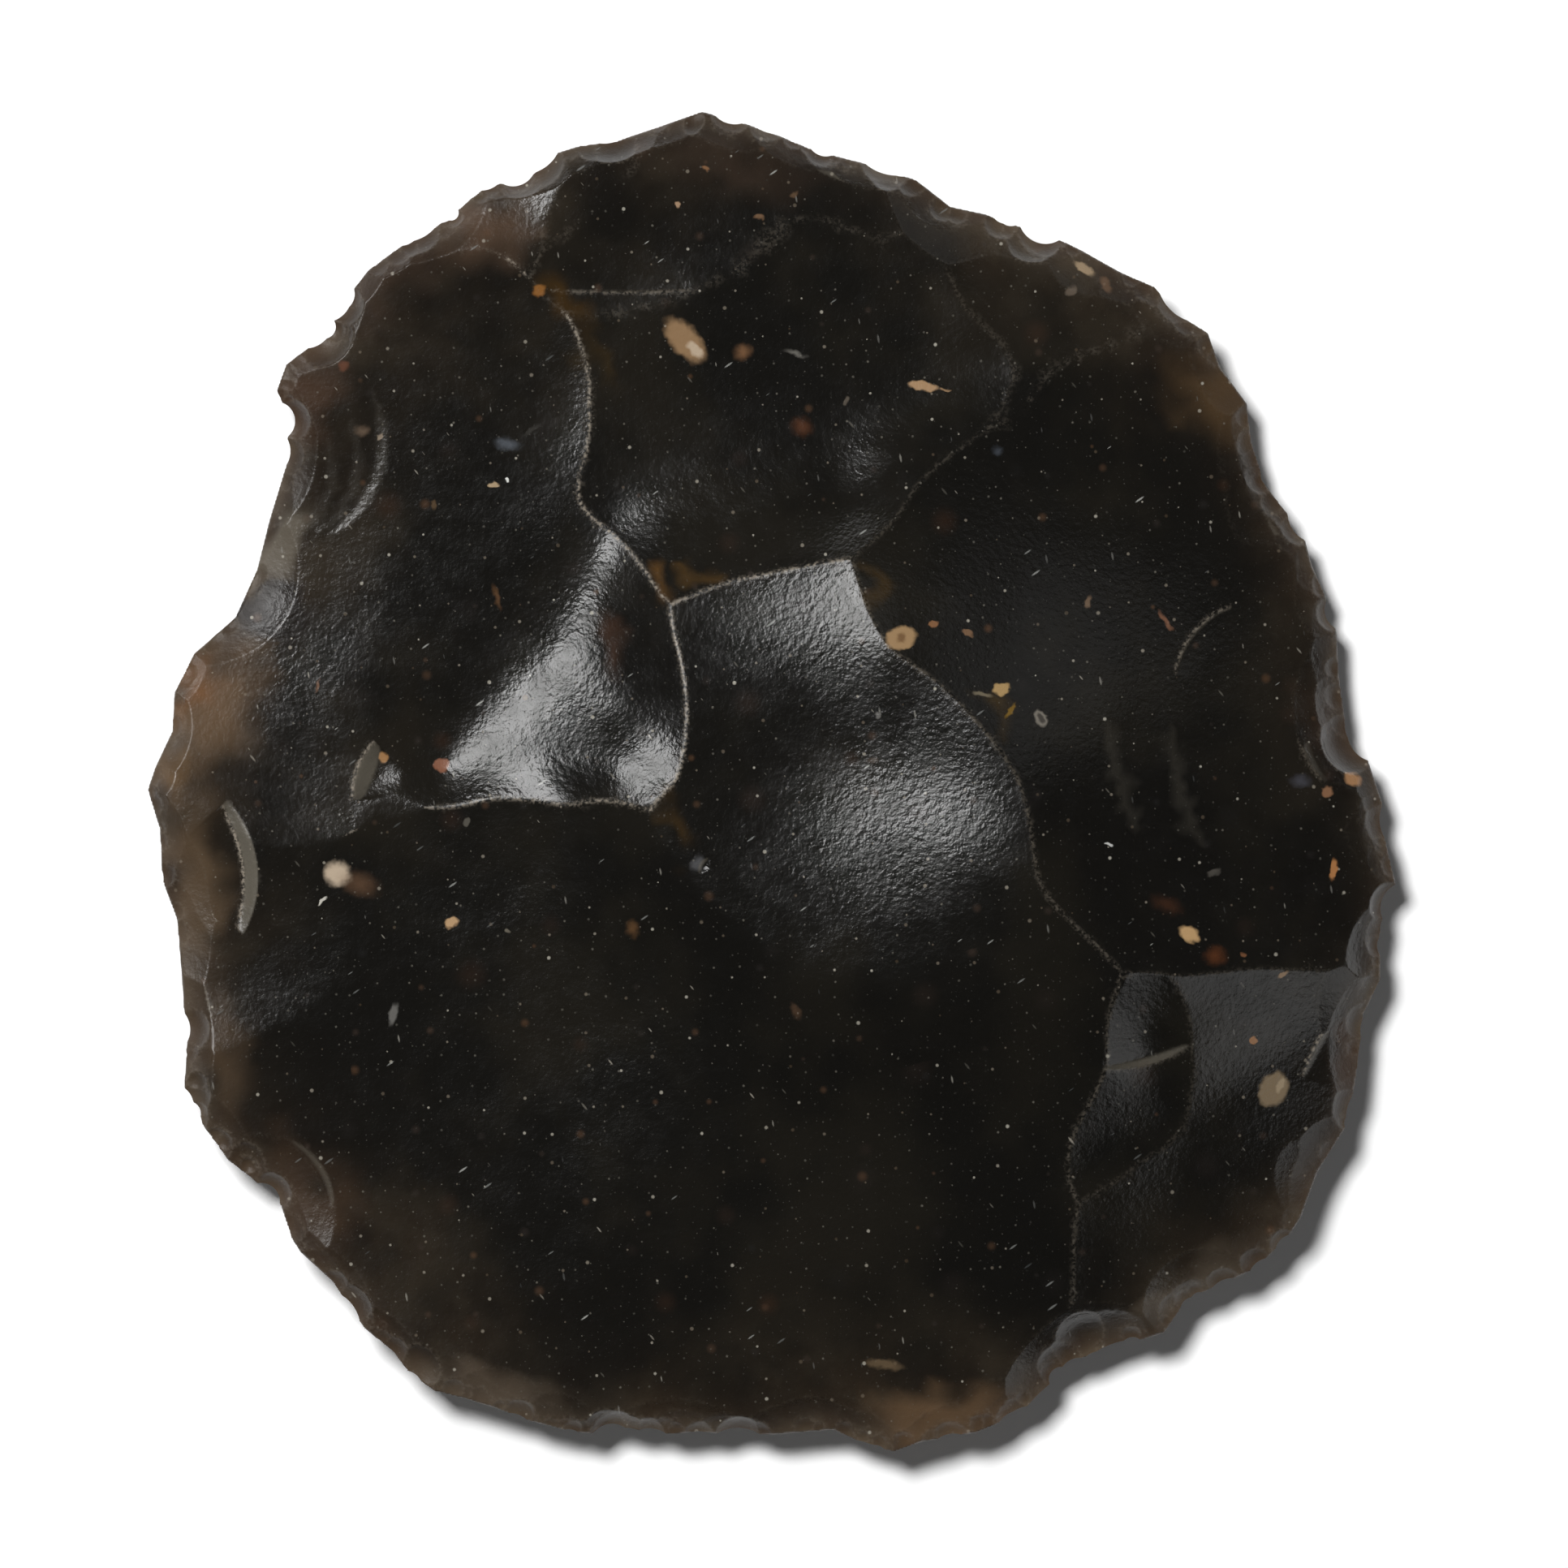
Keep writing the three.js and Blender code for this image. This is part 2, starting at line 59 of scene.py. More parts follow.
# Cusps of the rim, clockwise from the top; the hollow between two is one retouch scar
CUSPS = (
    (-2.9, 27.6), (-1.1, 27.1), (0.3, 26.6), (1.5, 26.1), (2.9, 25.7), (4.1, 25.4),
    (5.9, 24.8), (7.3, 23.7), (8.7, 23.4), (10.4, 22.8), (11.1, 22.7), (12.7, 21.9),
    (14.3, 21.0), (15.7, 20.4), (16.8, 19.2), (17.9, 18.5), (18.4, 17.1), (19.5, 15.6),
    (19.7, 14.0), (20.3, 12.2), (21.4, 10.8), (21.9, 10.0), (22.2, 8.9), (22.7, 7.8),
    (23.2, 6.2), (23.3, 4.4), (23.6, 2.3), (24.5, 0.9), (25.1, -0.9), (25.2, -2.3),
    (25.7, -4.5), (25.0, -6.2), (25.0, -8.1), (24.3, -9.5), (24.2, -10.8), (23.8, -13.3),
    (23.6, -14.1), (22.4, -16.0), (21.7, -17.9), (21.1, -18.8), (19.8, -20.0), (17.6, -21.0),
    (16.8, -21.6), (16.1, -22.6), (14.3, -23.2), (12.6, -23.7), (12.1, -24.4), (10.8, -25.7),
    (8.4, -26.7), (6.1, -27.1), (5.0, -27.5), (4.0, -27.3), (2.5, -26.6), (0.0, -26.8),
    (-1.3, -26.8), (-3.2, -26.7), (-5.6, -26.9), (-6.8, -26.8), (-8.2, -26.7), (-10.1, -26.2),
    (-11.4, -25.7), (-12.7, -25.3), (-13.9, -25.0), (-14.9, -24.3), (-15.6, -23.4),
    (-16.8, -22.4), (-17.5, -21.4), (-18.1, -20.5), (-19.4, -19.3), (-19.8, -18.7),
    (-20.2, -17.4), (-21.5, -16.2), (-22.4, -15.5), (-23.7, -13.7), (-24.2, -12.6),
    (-24.1, -11.2), (-24.3, -7.9), (-24.5, -5.6), (-25.1, -4.0), (-25.2, -1.9), (-25.7, -0.3),
    (-25.4, 0.6), (-24.7, 2.1), (-24.6, 3.7), (-23.8, 5.3), (-22.1, 6.8), (-21.2, 8.8),
    (-20.7, 10.8), (-20.0, 13.1), (-19.9, 15.1), (-20.4, 16.1), (-20.0, 17.2), (-18.7, 18.2),
    (-17.7, 19.7), (-16.6, 21.1), (-15.1, 22.2), (-13.8, 22.9), (-12.3, 24.1), (-11.7, 24.6),
    (-10.2, 25.0), (-9.2, 25.8), (-7.9, 26.2), (-6.4, 26.4), (-4.6, 27.0),
)

# Points on the ridges between the large scars: x, y and height over the lowest point
RIDGES = {
    "leftPeak": (-4.2, 7.3, 6.9),
    "topMiddle": (-1.6, 8.3, 7.05),
    "topPeak": (3.2, 9.15, 7.9),
    "waistUpper": (-3.6, 3.8, 7.6),
    "waistLower": (-4.0, 0.15, 7.85),
    "leftFork": (-5.0, -1.1, 7.9),
    "crestUpper": (4.9, 5.5, 8.9),
    "crestMiddle": (8.1, 2.8, 9.75),
    "crestTop": (10.2, -0.35, 10.3),
    "crestLower": (11.0, -4.2, 10.6),
    "rightFork": (14.3, -7.85, 9.6),
    "rollLeft": (-3.1, -4.2, 8.1),
    "rollMiddle": (1.6, -7.85, 8.8),
    "rollRight": (9.9, -8.35, 9.9),
    "leftArmInner": (-8.4, -0.85, 6.1),
    "leftArmMiddle": (-11.7, -0.7, 5.2),
    "leftArmOuter": (-15.1, -0.95, 4.65),
    "leftEnd": (-17.2, -1.95, 4.45),
    "upperLeftOuter": (-7.6, 16.55, 4.35),
    "upperLeftMiddle": (-7.8, 13.5, 4.55),
    "upperLeftInner": (-6.7, 10.3, 4.95),
    "topLeftFork": (-9.9, 20.8, 4.2),
    "stepMiddle": (-3.4, 20.1, 4.45),
    "stepEnd": (-1.4, 21.15, 4.4),
    "topArc": (1.9, 23.2, 4.15),
    "topRightRim": (7.1, 23.8, 4.1),
    "topLeftRim": (-7.2, 26.15, 4.3),
    "topLeftArm": (-8.4, 23.8, 4.3),
    "cornerArm": (-11.7, 21.55, 4.25),
    "topHollow": (-1.6, 24.4, 3.95),
    "rightShoulderRim": (15.1, 18.55, 3.7),
    "rightShoulderArm": (11.6, 16.8, 4.7),
    "rightShoulder": (9.3, 15.0, 5.2),
    "shoulderArm": (5.9, 12.15, 6.6),
    "shoulderTop": (7.9, 19.5, 4.5),
    "rightArmInner": (16.2, -7.85, 8.7),
    "rightArmOuter": (20.3, -7.7, 6.6),
    "rightRim": (24.6, -7.7, 4.1),
    "lowerArmUpper": (13.7, -11.6, 8.2),
    "lowerArmLower": (12.6, -17.2, 6.6),
    "lowerRim": (12.1, -23.35, 4.4),
    "lowerInnerUpper": (17.2, -11.0, 7.2),
    "lowerInnerLower": (16.8, -14.2, 6.15),
    "leftWingUpper": (-16.6, 2.8, 4.1),
    "leftWingLower": (-17.4, -7.2, 4.35),
    "leftHollow": (-21.2, -1.5, 4.25),
}


class Side(Enum):
    """Side of the stone that a face of the mesh belongs to."""

    UPPER = "upper"
    LOWER = "lower"


@dataclass(frozen=True)
class Grid:
    """Square grid of points over the stone; y grows with the row and x with the column.

    Attributes:
        half_width: Half the width of the square.
        cells: Number of cells along a side, a power of two.
        softness: How much the bumps of a random relief are blurred, against their distance.
    """

    half_width: float = 28.8
    cells: int = 1024
    softness: float = 2.5

    @property
    def step(self) -> float:
        """Distance between neighbouring points.

        Returns:
            The distance in millimetres.
        """
        return 2 * self.half_width / self.cells

    @property
    def ticks(self) -> np.ndarray:
        """Coordinate of each column, and of each row.

        Returns:
            The coordinates in millimetres.
        """
        return np.linspace(-self.half_width, self.half_width, self.cells + 1)

    def coordinates(self) -> tuple[np.ndarray, np.ndarray]:
        """Places of the points.

        Returns:
            x and y of every point.
        """
        return np.meshgrid(self.ticks, self.ticks)

    def span(self, middle: float, reach: float) -> slice:
        """Points along one axis that lie near a place.

        Args:
            middle: The place.
            reach: How far from it the points may lie.

        Returns:
            The slice of their numbers.
        """
        low = int((middle - reach + self.half_width) / self.step)
        high = int((middle + reach + self.half_width) / self.step) + 2
        return slice(max(low, 0), max(min(high, self.cells + 1), 0))

    def window(self, x: float, y: float, reach: float) -> tuple[slice, slice]:
        """Rows and columns of the points in a square about a point.

        Args:
            x: Middle of the square across.
            y: Middle of the square along.
            reach: Half the width of the square.

        Returns:
            The slice of rows and the slice of columns.
        """
        return self.span(y, reach), self.span(x, reach)

    def slopes(self, height: np.ndarray) -> tuple[np.ndarray, np.ndarray]:
        """Slope of a height across and along.

        Args:
            height: Height at every point.

        Returns:
            Slope along x and slope along y.
        """
        along, across = np.gradient(height, self.step)
        return across, along

    def roughness(self, length: float, seed: int) -> np.ndarray:
        """Random relief of unit strength.

        Args:
            length: Usual distance from one bump to the next.
            seed: Number that the random draw starts from.

        Returns:
            Height at every point.
        """
        count = self.cells + 1
        white = np.random.default_rng(seed).standard_normal((count, count))
        across = np.fft.rfftfreq(count, self.step)
        along = np.fft.fftfreq(count, self.step)[:, None]
        blur = np.exp(-0.5 * (across ** 2 + along ** 2) * length ** 2 * self.softness)
        relief = np.fft.irfft2(np.fft.rfft2(white) * blur, s=white.shape)
        return relief / relief.std()


@dataclass(frozen=True)
class Outline:
    """Outline of the disc, from cusp to cusp.

    Attributes:
        cusps: x and y of each cusp, clockwise.
    """

    cusps: tuple[tuple[float, float], ...] = CUSPS

    @property
    def spans(self) -> list[tuple[np.ndarray, np.ndarray]]:
        """Each cusp with the next one, clockwise.

        Returns:
            The two ends of each span.
        """
        points = [np.array(cusp) for cusp in self.cusps]
        return list(zip(points, points[1:] + points[:1]))

    @property
    def middle(self) -> np.ndarray:
        """Middle of the outline's box.

        Returns:
            x and y of the middle.
        """
        points = np.array(self.cusps)
        return (points.min(axis=0) + points.max(axis=0)) / 2

    def rim_point(self, degrees: float) -> np.ndarray:
        """Point where a ray from the middle leaves the outline.

        Args:
            degrees: Direction of the ray, anticlockwise from +X.

        Returns:
            x and y of the point.
        """
        ray = np.array([math.cos(math.radians(degrees)), math.sin(math.radians(degrees))])
        farthest = 0.0
        for start, end in self.spans:
            side = end - start
            cross = ray[0] * side[1] - ray[1] * side[0]
            if cross == 0:
                continue
            along = (start[0] * side[1] - start[1] * side[0]) / cross
            share = (start[0] * ray[1] - start[1] * ray[0]) / cross
            if along > 0 and 0 <= share <= 1:
                farthest = max(farthest, along)
        return ray * farthest

    def depth(self, grid: Grid, limit: float) -> np.ndarray:
        """Distance inwards from the outline, below zero outside it.

        Args:
            grid: Points to work out the distance at.
            limit: Farthest distance that is told apart.

        Returns:
            Distance at every point, between minus the limit and the limit.
        """
        x, y = grid.coordinates()
        inside = np.zeros(x.shape, bool)
        distance = np.full(x.shape, limit)
        for start, end in self.spans:
            rows = (y[:, 0] < start[1]) != (y[:, 0] < end[1])
            centre = (start + end) / 2
            side = end - start
            crossing = start[0] + (y[rows, :1] - start[1]) * side[0] / side[1]
            inside[rows] ^= x[rows] < crossing
            window = grid.window(centre[0], centre[1], limit + np.linalg.norm(side) / 2)
            across, along = x[window] - start[0], y[window] - start[1]
            share = np.clip((across * side[0] + along * side[1]) / (side @ side), 0, 1)
            gap = np.hypot(across - share * side[0], along - share * side[1])
            distance[window] = np.minimum(distance[window], gap)
        return np.where(inside, distance, -distance)


@dataclass(frozen=True)
class Belly:
    """Lower face: a shallow dome with a bulb under the struck point, and a worn flat.

    Attributes:
        radius: Radius of the dome.
        rest_depth: Height to which the lowest part is worn flat.
        bulb: x and y of the middle of the bulb.
        bulb_height: How far the bulb stands out.
        bulb_spread: How wide the bulb is.
        struck: Point on the rim where the blow fell, which the ripples run round.
        ripple: Height of the ripples.
        ripple_length: Distance from one ripple to the next.
        ripple_start: Distance from the struck point at which the ripples are strongest.
        ripple_fade: Distance over which they fade.
    """

    radius: float = 110.0
    rest_depth: float = 0.45
    bulb: tuple[float, float] = (-2.5, 19.0)
    bulb_height: float = 0.75
    bulb_spread: float = 6.5
    struck: tuple[float, float] = (-2.5, 27.0)
    ripple: float = 0.05
    ripple_length: float = 5.5
    ripple_start: float = 11.0
    ripple_fade: float = 10.0

    def height(self, x: Any, y: Any) -> Any:
        """Height of the struck face before the flat is worn.

        Args:
            x: Coordinate across, one number or an array.
            y: Coordinate along, one number or an array.

        Returns:
            Height over the lowest point of the dome.
        """
        dome = (x * x + y * y) / (2 * self.radius)
        away = np.hypot(x - self.bulb[0], y - self.bulb[1]) / self.bulb_spread
        run = np.hypot(x - self.struck[0], y - self.struck[1])
        strength = np.exp(-((run - self.ripple_start) / self.ripple_fade) ** 2)
        wave = np.cos(2 * np.pi * run / self.ripple_length)
        return dome - self.bulb_height * np.exp(-0.5 * away ** 2) + self.ripple * strength * wave


@dataclass(frozen=True)
class Scar:
    """One large flake scar: a bowl bent like a thin plate through its ridge and rim points.

    Attributes:
        ridge: Names of the ridge points that the scar passes through.
        bowl: Radius of the bowl before it is bent.
        struck: Point on the rim where the flake was struck off, which the ripples run round.
        ripple: Height of the ripples.
        rim: Directions in degrees in which the scar runs out at the rim.
        floor: Further points of its surface: x, y and height.
        ripple_length: Distance from one ripple to the next.
        rim_thickness: Thickness of the stone where the scar runs out.
    """

    ridge: tuple[str, ...]
    bowl: float
    struck: tuple[float, float]
    ripple: float
    rim: tuple[float, ...] = ()
    floor: tuple[tuple[float, float, float], ...] = ()
    ripple_length: float = 3.6
    rim_thickness: float = 0.6

    @staticmethod
    def bending(squared: np.ndarray) -> np.ndarray:
        """Bending of a thin plate round a point that holds it.

        Args:
            squared: Squared distances from the point.

        Returns:
            Height of the plate at those distances.
        """
        # The tiny number keeps the logarithm finite at the point itself
        return 0.5 * squared * np.log(squared + 1e-12)

    def height(self, grid: Grid, outline: Outline, belly: Belly) -> np.ndarray:
        """Height of the scar at every point of a grid.

        Args:
            grid: Points to work out the height at.
            outline: Outline of the disc.
            belly: Lower face, which the scar stays clear of at the rim.

        Returns:
            Height at every point, also past the scar's own ridges.
        """
        points = [*(RIDGES[name] for name in self.ridge), *self.floor]
        for degrees in self.rim:
            u, v = outline.rim_point(degrees)
            points.append((u, v, belly.height(u, v) + self.rim_thickness))
        held = np.array(points)
        count = len(held)
        squared = ((held[:, None, :2] - held[None, :, :2]) ** 2).sum(axis=2)
        system = np.zeros((count + 3, count + 3))
        system[:count, :count] = self.bending(squared)
        system[:count, count] = system[count, :count] = 1
        system[:count, count + 1:] = held[:, :2]
        system[count + 1:, :count] = held[:, :2].T
        rises = held[:, 2] - (held[:, :2] ** 2).sum(axis=1) / (2 * self.bowl)
        weights = np.linalg.solve(system, np.append(rises, [0, 0, 0]))
        x, y = grid.coordinates()
        height = weights[count] + weights[count + 1] * x + weights[count + 2] * y
        height += (x * x + y * y) / (2 * self.bowl)
        for weight, (u, v, _) in zip(weights, held):
            height += weight * self.bending((x - u) ** 2 + (y - v) ** 2)
        run = np.hypot(x - self.struck[0], y - self.struck[1])
        return height + self.ripple * np.cos(2 * np.pi * run / self.ripple_length)


SCARS = {
    "left": Scar(
        ridge=("topLeftFork", "upperLeftOuter", "upperLeftMiddle", "upperLeftInner", "leftPeak",
               "waistUpper", "waistLower", "leftFork", "leftArmInner", "leftArmMiddle",
               "leftArmOuter", "leftEnd", "leftWingUpper"),
        floor=((-13.5, 0.5, 4.25), (-11.0, 1.5, 4.8), (-8.3, 1.0, 6.0), (-6.3, 0.8, 6.97),
               (-8.2, 3.0, 5.5), (-6.2, 3.0, 6.25), (-11.7, 3.5, 4.35), (-6.5, 5.5, 5.65),
               (-8.8, 5.5, 4.7), (-13.0, 5.0, 4.2), (-10.0, 7.5, 4.42), (-7.6, 8.0, 4.85),
               (-8.6, 10.4, 4.68), (-12.0, 10.0, 4.2), (-9.0, 14.0, 4.3), (-12.0, 15.0, 4.1),
               (-16.0, 10.0, 3.75)),
        rim=(135, 145, 155, 163), bowl=45, struck=(-23, 9), ripple=0.006),
    "top": Scar(
        ridge=("topLeftFork", "upperLeftOuter", "upperLeftMiddle", "upperLeftInner", "leftPeak",
               "topMiddle", "topPeak", "shoulderArm", "rightShoulder", "shoulderTop",
               "topRightRim", "topArc", "stepEnd", "stepMiddle"),
        floor=((-4.6, 10.0, 5.5), (-2.0, 10.5, 5.65), (3.5, 11.5, 5.95), (-2.5, 12.5, 4.95),
               (1.5, 14.5, 4.75), (5.5, 15.5, 4.8), (-4.0, 16.5, 4.4), (3.5, 19.0, 4.4)),
        bowl=60, struck=(3, 28), ripple=0.006),
    "centre": Scar(
        ridge=("leftPeak", "topMiddle", "topPeak", "crestUpper", "crestMiddle", "crestTop",
               "crestLower", "rightFork", "rollRight", "rollMiddle", "rollLeft", "leftFork",
               "waistLower", "waistUpper"),
        floor=((1.5, 6.5, 7.89), (0.0, 3.0, 7.95), (3.0, 4.5, 8.4), (6.5, 3.5, 9.3),
               (0.0, 0.5, 7.95), (3.0, 1.0, 8.45), (7.0, 0.8, 9.48), (0.0, -3.0, 8.3),
               (3.0, -3.0, 8.8), (7.0, -3.0, 9.82)),
        bowl=60, struck=(-6, -28), ripple=0.006),
    "bottom": Scar(
        ridge=("leftFork", "rollLeft", "rollMiddle", "rollRight", "rightFork", "lowerArmUpper",
               "lowerArmLower", "lowerRim", "leftEnd", "leftArmInner", "leftArmMiddle",
               "leftArmOuter", "leftWingLower"),
        floor=((-12.0, -8.0, 4.7), (-12.0, -16.0, 4.4), (-5.0, -8.0, 6.1), (-5.0, -16.0, 5.4),
               (3.0, -14.0, 6.5), (3.0, -20.0, 5.4)),
        rim=(215, 235, 255, 275, 289), bowl=90, struck=(-3, -30), ripple=0.01),
    "right": Scar(
        ridge=("topPeak", "shoulderArm", "rightShoulder", "rightShoulderArm",
               "rightShoulderRim", "crestUpper", "crestMiddle", "crestTop", "crestLower",
               "rightFork", "rightArmInner", "rightArmOuter", "rightRim"),
        floor=((15.0, 10.0, 4.9),),
        rim=(0, 15, 30, 44), bowl=60, struck=(28, 4), ripple=0.02),
    "lowerRight": Scar(
        ridge=("rightArmInner", "rightArmOuter", "rightRim", "lowerInnerUpper",
               "lowerInnerLower", "lowerArmLower", "lowerRim"),
        rim=(310, 325), bowl=40, struck=(25, -19), ripple=0.02),
    "lowerInner": Scar(
        ridge=("rightFork", "rightArmInner", "lowerInnerUpper", "lowerInnerLower",
               "lowerArmLower", "lowerArmUpper"),
        floor=((15.2, -10.5, 7.8), (14.9, -13.5, 6.85), (20.0, -11.0, 7.2), (19.5, -16.0, 6.6),
               (15.0, -19.5, 6.6)),
        bowl=40, struck=(25, -19), ripple=0.01),
    "topEnd": Scar(
        ridge=("topLeftRim", "topLeftArm", "topLeftFork", "stepMiddle", "stepEnd", "topArc",
               "topRightRim", "topHollow"),
        rim=(85, 95), bowl=16, struck=(-2, 30), ripple=0.01),
    "topLeft": Scar(
        ridge=("topLeftRim", "topLeftArm", "topLeftFork", "cornerArm"),
        rim=(113, 121), bowl=20, struck=(-14, 27), ripple=0.01),
    "topRight": Scar(
        ridge=("topRightRim", "shoulderTop", "rightShoulder", "rightShoulderArm",
               "rightShoulderRim"),
        floor=((11.5, 20.0, 4.0),),
        rim=(52, 60, 68), bowl=30, struck=(13, 24), ripple=0.02),
    "farLeft": Scar(
        ridge=("leftWingUpper", "leftEnd", "leftWingLower", "leftHollow"),
        rim=(170, 180, 190, 200), bowl=30, struck=(-28, -1), ripple=0.01),
}

# How much crushing and polishing the ridge between two scars shows, with a highlight painted along
# it, from 0 to 1
USUAL_WEAR_AND_HIGHLIGHT = 0.12
WORN_AND_HIGHLIT_RIDGES = {
    ("centre", "bottom"): 0.0,
    ("left", "top"): 0.8,
    ("top", "centre"): 0.8,
    ("left", "centre"): 1.0,
    ("left", "bottom"): 0.7,
    ("centre", "right"): 0.25,
    ("bottom", "lowerRight"): 0.25,
    ("bottom", "lowerInner"): 0.25,
    ("left", "farLeft"): 0.0,
    ("bottom", "farLeft"): 0.0,
    ("top", "topEnd"): 0.12,
    ("topLeft", "topEnd"): 0.2,
}


# Larger scars of the edge, clockwise from the top: the two directions in degrees between
# which each one lies, and how far it runs in
EDGE_SCARS = (
    (96, 92, 0.9), (91, 86, 0.9), (73, 63, 1.5), (63, 54, 1.6), (53, 46, 1.4), (37, 25, 2.2),
    (23, 15, 1.2), (9, 0, 1.9), (357, 350, 1.2), (349, 343, 1.1), (341, 333, 1.4),
    (325, 319, 1.4), (316, 310, 1.3), (309, 304, 1.2), (298, 292, 1.2), (292, 286, 1.7),
    (280, 276, 1.1), (265, 256, 1.4), (254, 248, 1.3), (249, 243, 1.7), (243, 238, 1.3),
    (232, 226, 1.2), (224, 216, 2.4), (210, 204, 0.9), (204, 199, 0.9), (196, 187, 1.6),
)


@dataclass(frozen=True)
class Bite:
    """Small scar of the edge: part of a sphere through two points of the rim and one inside.

    Attributes:
        start: First point of the rim.
        end: Second point of the rim.
        reach: How far the scar runs in from the line between the two.
        radius: Least radius of the sphere.
        slack: Least radius against that of the circle through the three points.
    """

    start: np.ndarray
    end: np.ndarray
    reach: float
    radius: float
    slack: float = 1.02

    @property
    def inner(self) -> np.ndarray:
        """Point where the scar runs out on the upper face.

        Returns:
            x and y of the point.
        """
        side = self.end - self.start
        inward = np.array([side[1], -side[0]]) / np.linalg.norm(side)
        return (self.start + self.end) / 2 + inward * self.reach

    def sphere(self, rim_heights: tuple[float, float],
               inner_height: float) -> tuple[np.ndarray, float]:
        """Sphere whose underside passes through the three points.

        Args:
            rim_heights: Heights of the two points of the rim.
            inner_height: Height of the point on the upper face.

        Returns:
            Centre and radius of the sphere.
        """
        a = np.append(self.start, rim_heights[0])
        b = np.append(self.end, rim_heights[1])
        c = np.append(self.inner, inner_height)
        to_b, to_c = b - a, c - a
        normal = np.cross(to_b, to_c)
        if normal[2] < 0:
            normal = -normal
        area = normal @ normal
        middle = np.cross(normal, to_b) * (to_c @ to_c) + np.cross(to_c, normal) * (to_b @ to_b)
        middle /= 2 * area
        if middle @ to_b < 0:
            middle = -middle
        reach = max(self.radius, np.linalg.norm(middle) * self.slack)
        lift = math.sqrt(reach * reach - middle @ middle)
        return a + middle + normal / math.sqrt(area) * lift, reach


def smooth_step(share: np.ndarray) -> np.ndarray:
    """Smooth run from 0 to 1.

    Args:
        share: How far along each point lies, from 0 to 1.

    Returns:
        The smoothed share.
    """
    return share ** 2 * (3 - 2 * share)


@dataclass(frozen=True)
class Hinge:
    """Curved step where a small flake broke off short: the face drops inside an arc. Its wall is
    lighter, partly from frosting and partly from painted light.

    Attributes:
        middle: x and y of the middle of the arc.
        facing: Direction in degrees from the scar out over the arc.
        radius: Radius of the arc.
        length: Length of the arc, over which the step fades out at both ends.
        wall: Width of the step's wall.
        drop: Height of the step.
        run: Distance over which the floor of the scar comes up again.
        frost_and_painted_light: Strength of the frosting and of the light painted on the wall,
            from 0 to 1.
        crumb: How crumbled the step's edge is, from 0 to 1.
        at_foot: Whether the foot of the wall is crumbled instead of its edge.
        end_wall: Share of the wall's width that is left at the ends of the arc.
        frost_and_light_in: Distance over which the frosting and painted light come in at the edge.
        frost_and_light_out: Distance over which they go at the foot.
        crumb_width: Width of the crumbled line.
    """

    middle: tuple[float, float]
    facing: float
    radius: float
    length: float
    wall: float
    drop: float
    run: float
    frost_and_painted_light: float = 0.0
    crumb: float = 0.0
    at_foot: bool = False
    end_wall: float = 0.35
    frost_and_light_in: float = 0.06
    frost_and_light_out: float = 0.12
    crumb_width: float = 0.07

    def shape(self, x: np.ndarray, y: np.ndarray) -> tuple[np.ndarray, np.ndarray, np.ndarray]:
        """Drop, frosting with painted light, and crumbled line of the step.

        Args:
            x: Coordinate across of each point.
            y: Coordinate along of each point.

        Returns:
            How far the face drops, how much frosting and light is painted on its wall, and how
            crumbled it is.
        """
        angle = math.radians(self.facing)
        out = np.array([math.cos(angle), math.sin(angle)])
        u = x - self.middle[0] + out[0] * self.radius
        v = y - self.middle[1] + out[1] * self.radius
        depth = self.radius - np.hypot(u, v)
        along = self.radius * np.arctan2(v * out[0] - u * out[1], u * out[0] + v * out[1])
        fade = np.sqrt(np.clip(1 - (2 * along / self.length) ** 2, 0, 1))
        wall = self.wall * (self.end_wall + (1 - self.end_wall) * fade)
        down = smooth_step(np.clip(depth / wall, 0, 1))
        up = smooth_step(np.clip((depth - wall) / self.run, 0, 1))
        drop = self.drop * fade * down * (1 - up)
        # Frosting and painted light on the wall of the step
        on_wall = np.clip(depth / self.frost_and_light_in, 0, 1)
        on_wall = on_wall * np.clip((wall - depth) / self.frost_and_light_out, 0, 1)
        line = np.exp(-((depth - (wall if self.at_foot else 0)) / self.crumb_width) ** 2)
        return drop, self.frost_and_painted_light * on_wall * np.sqrt(fade), self.crumb * line * np.sqrt(fade)
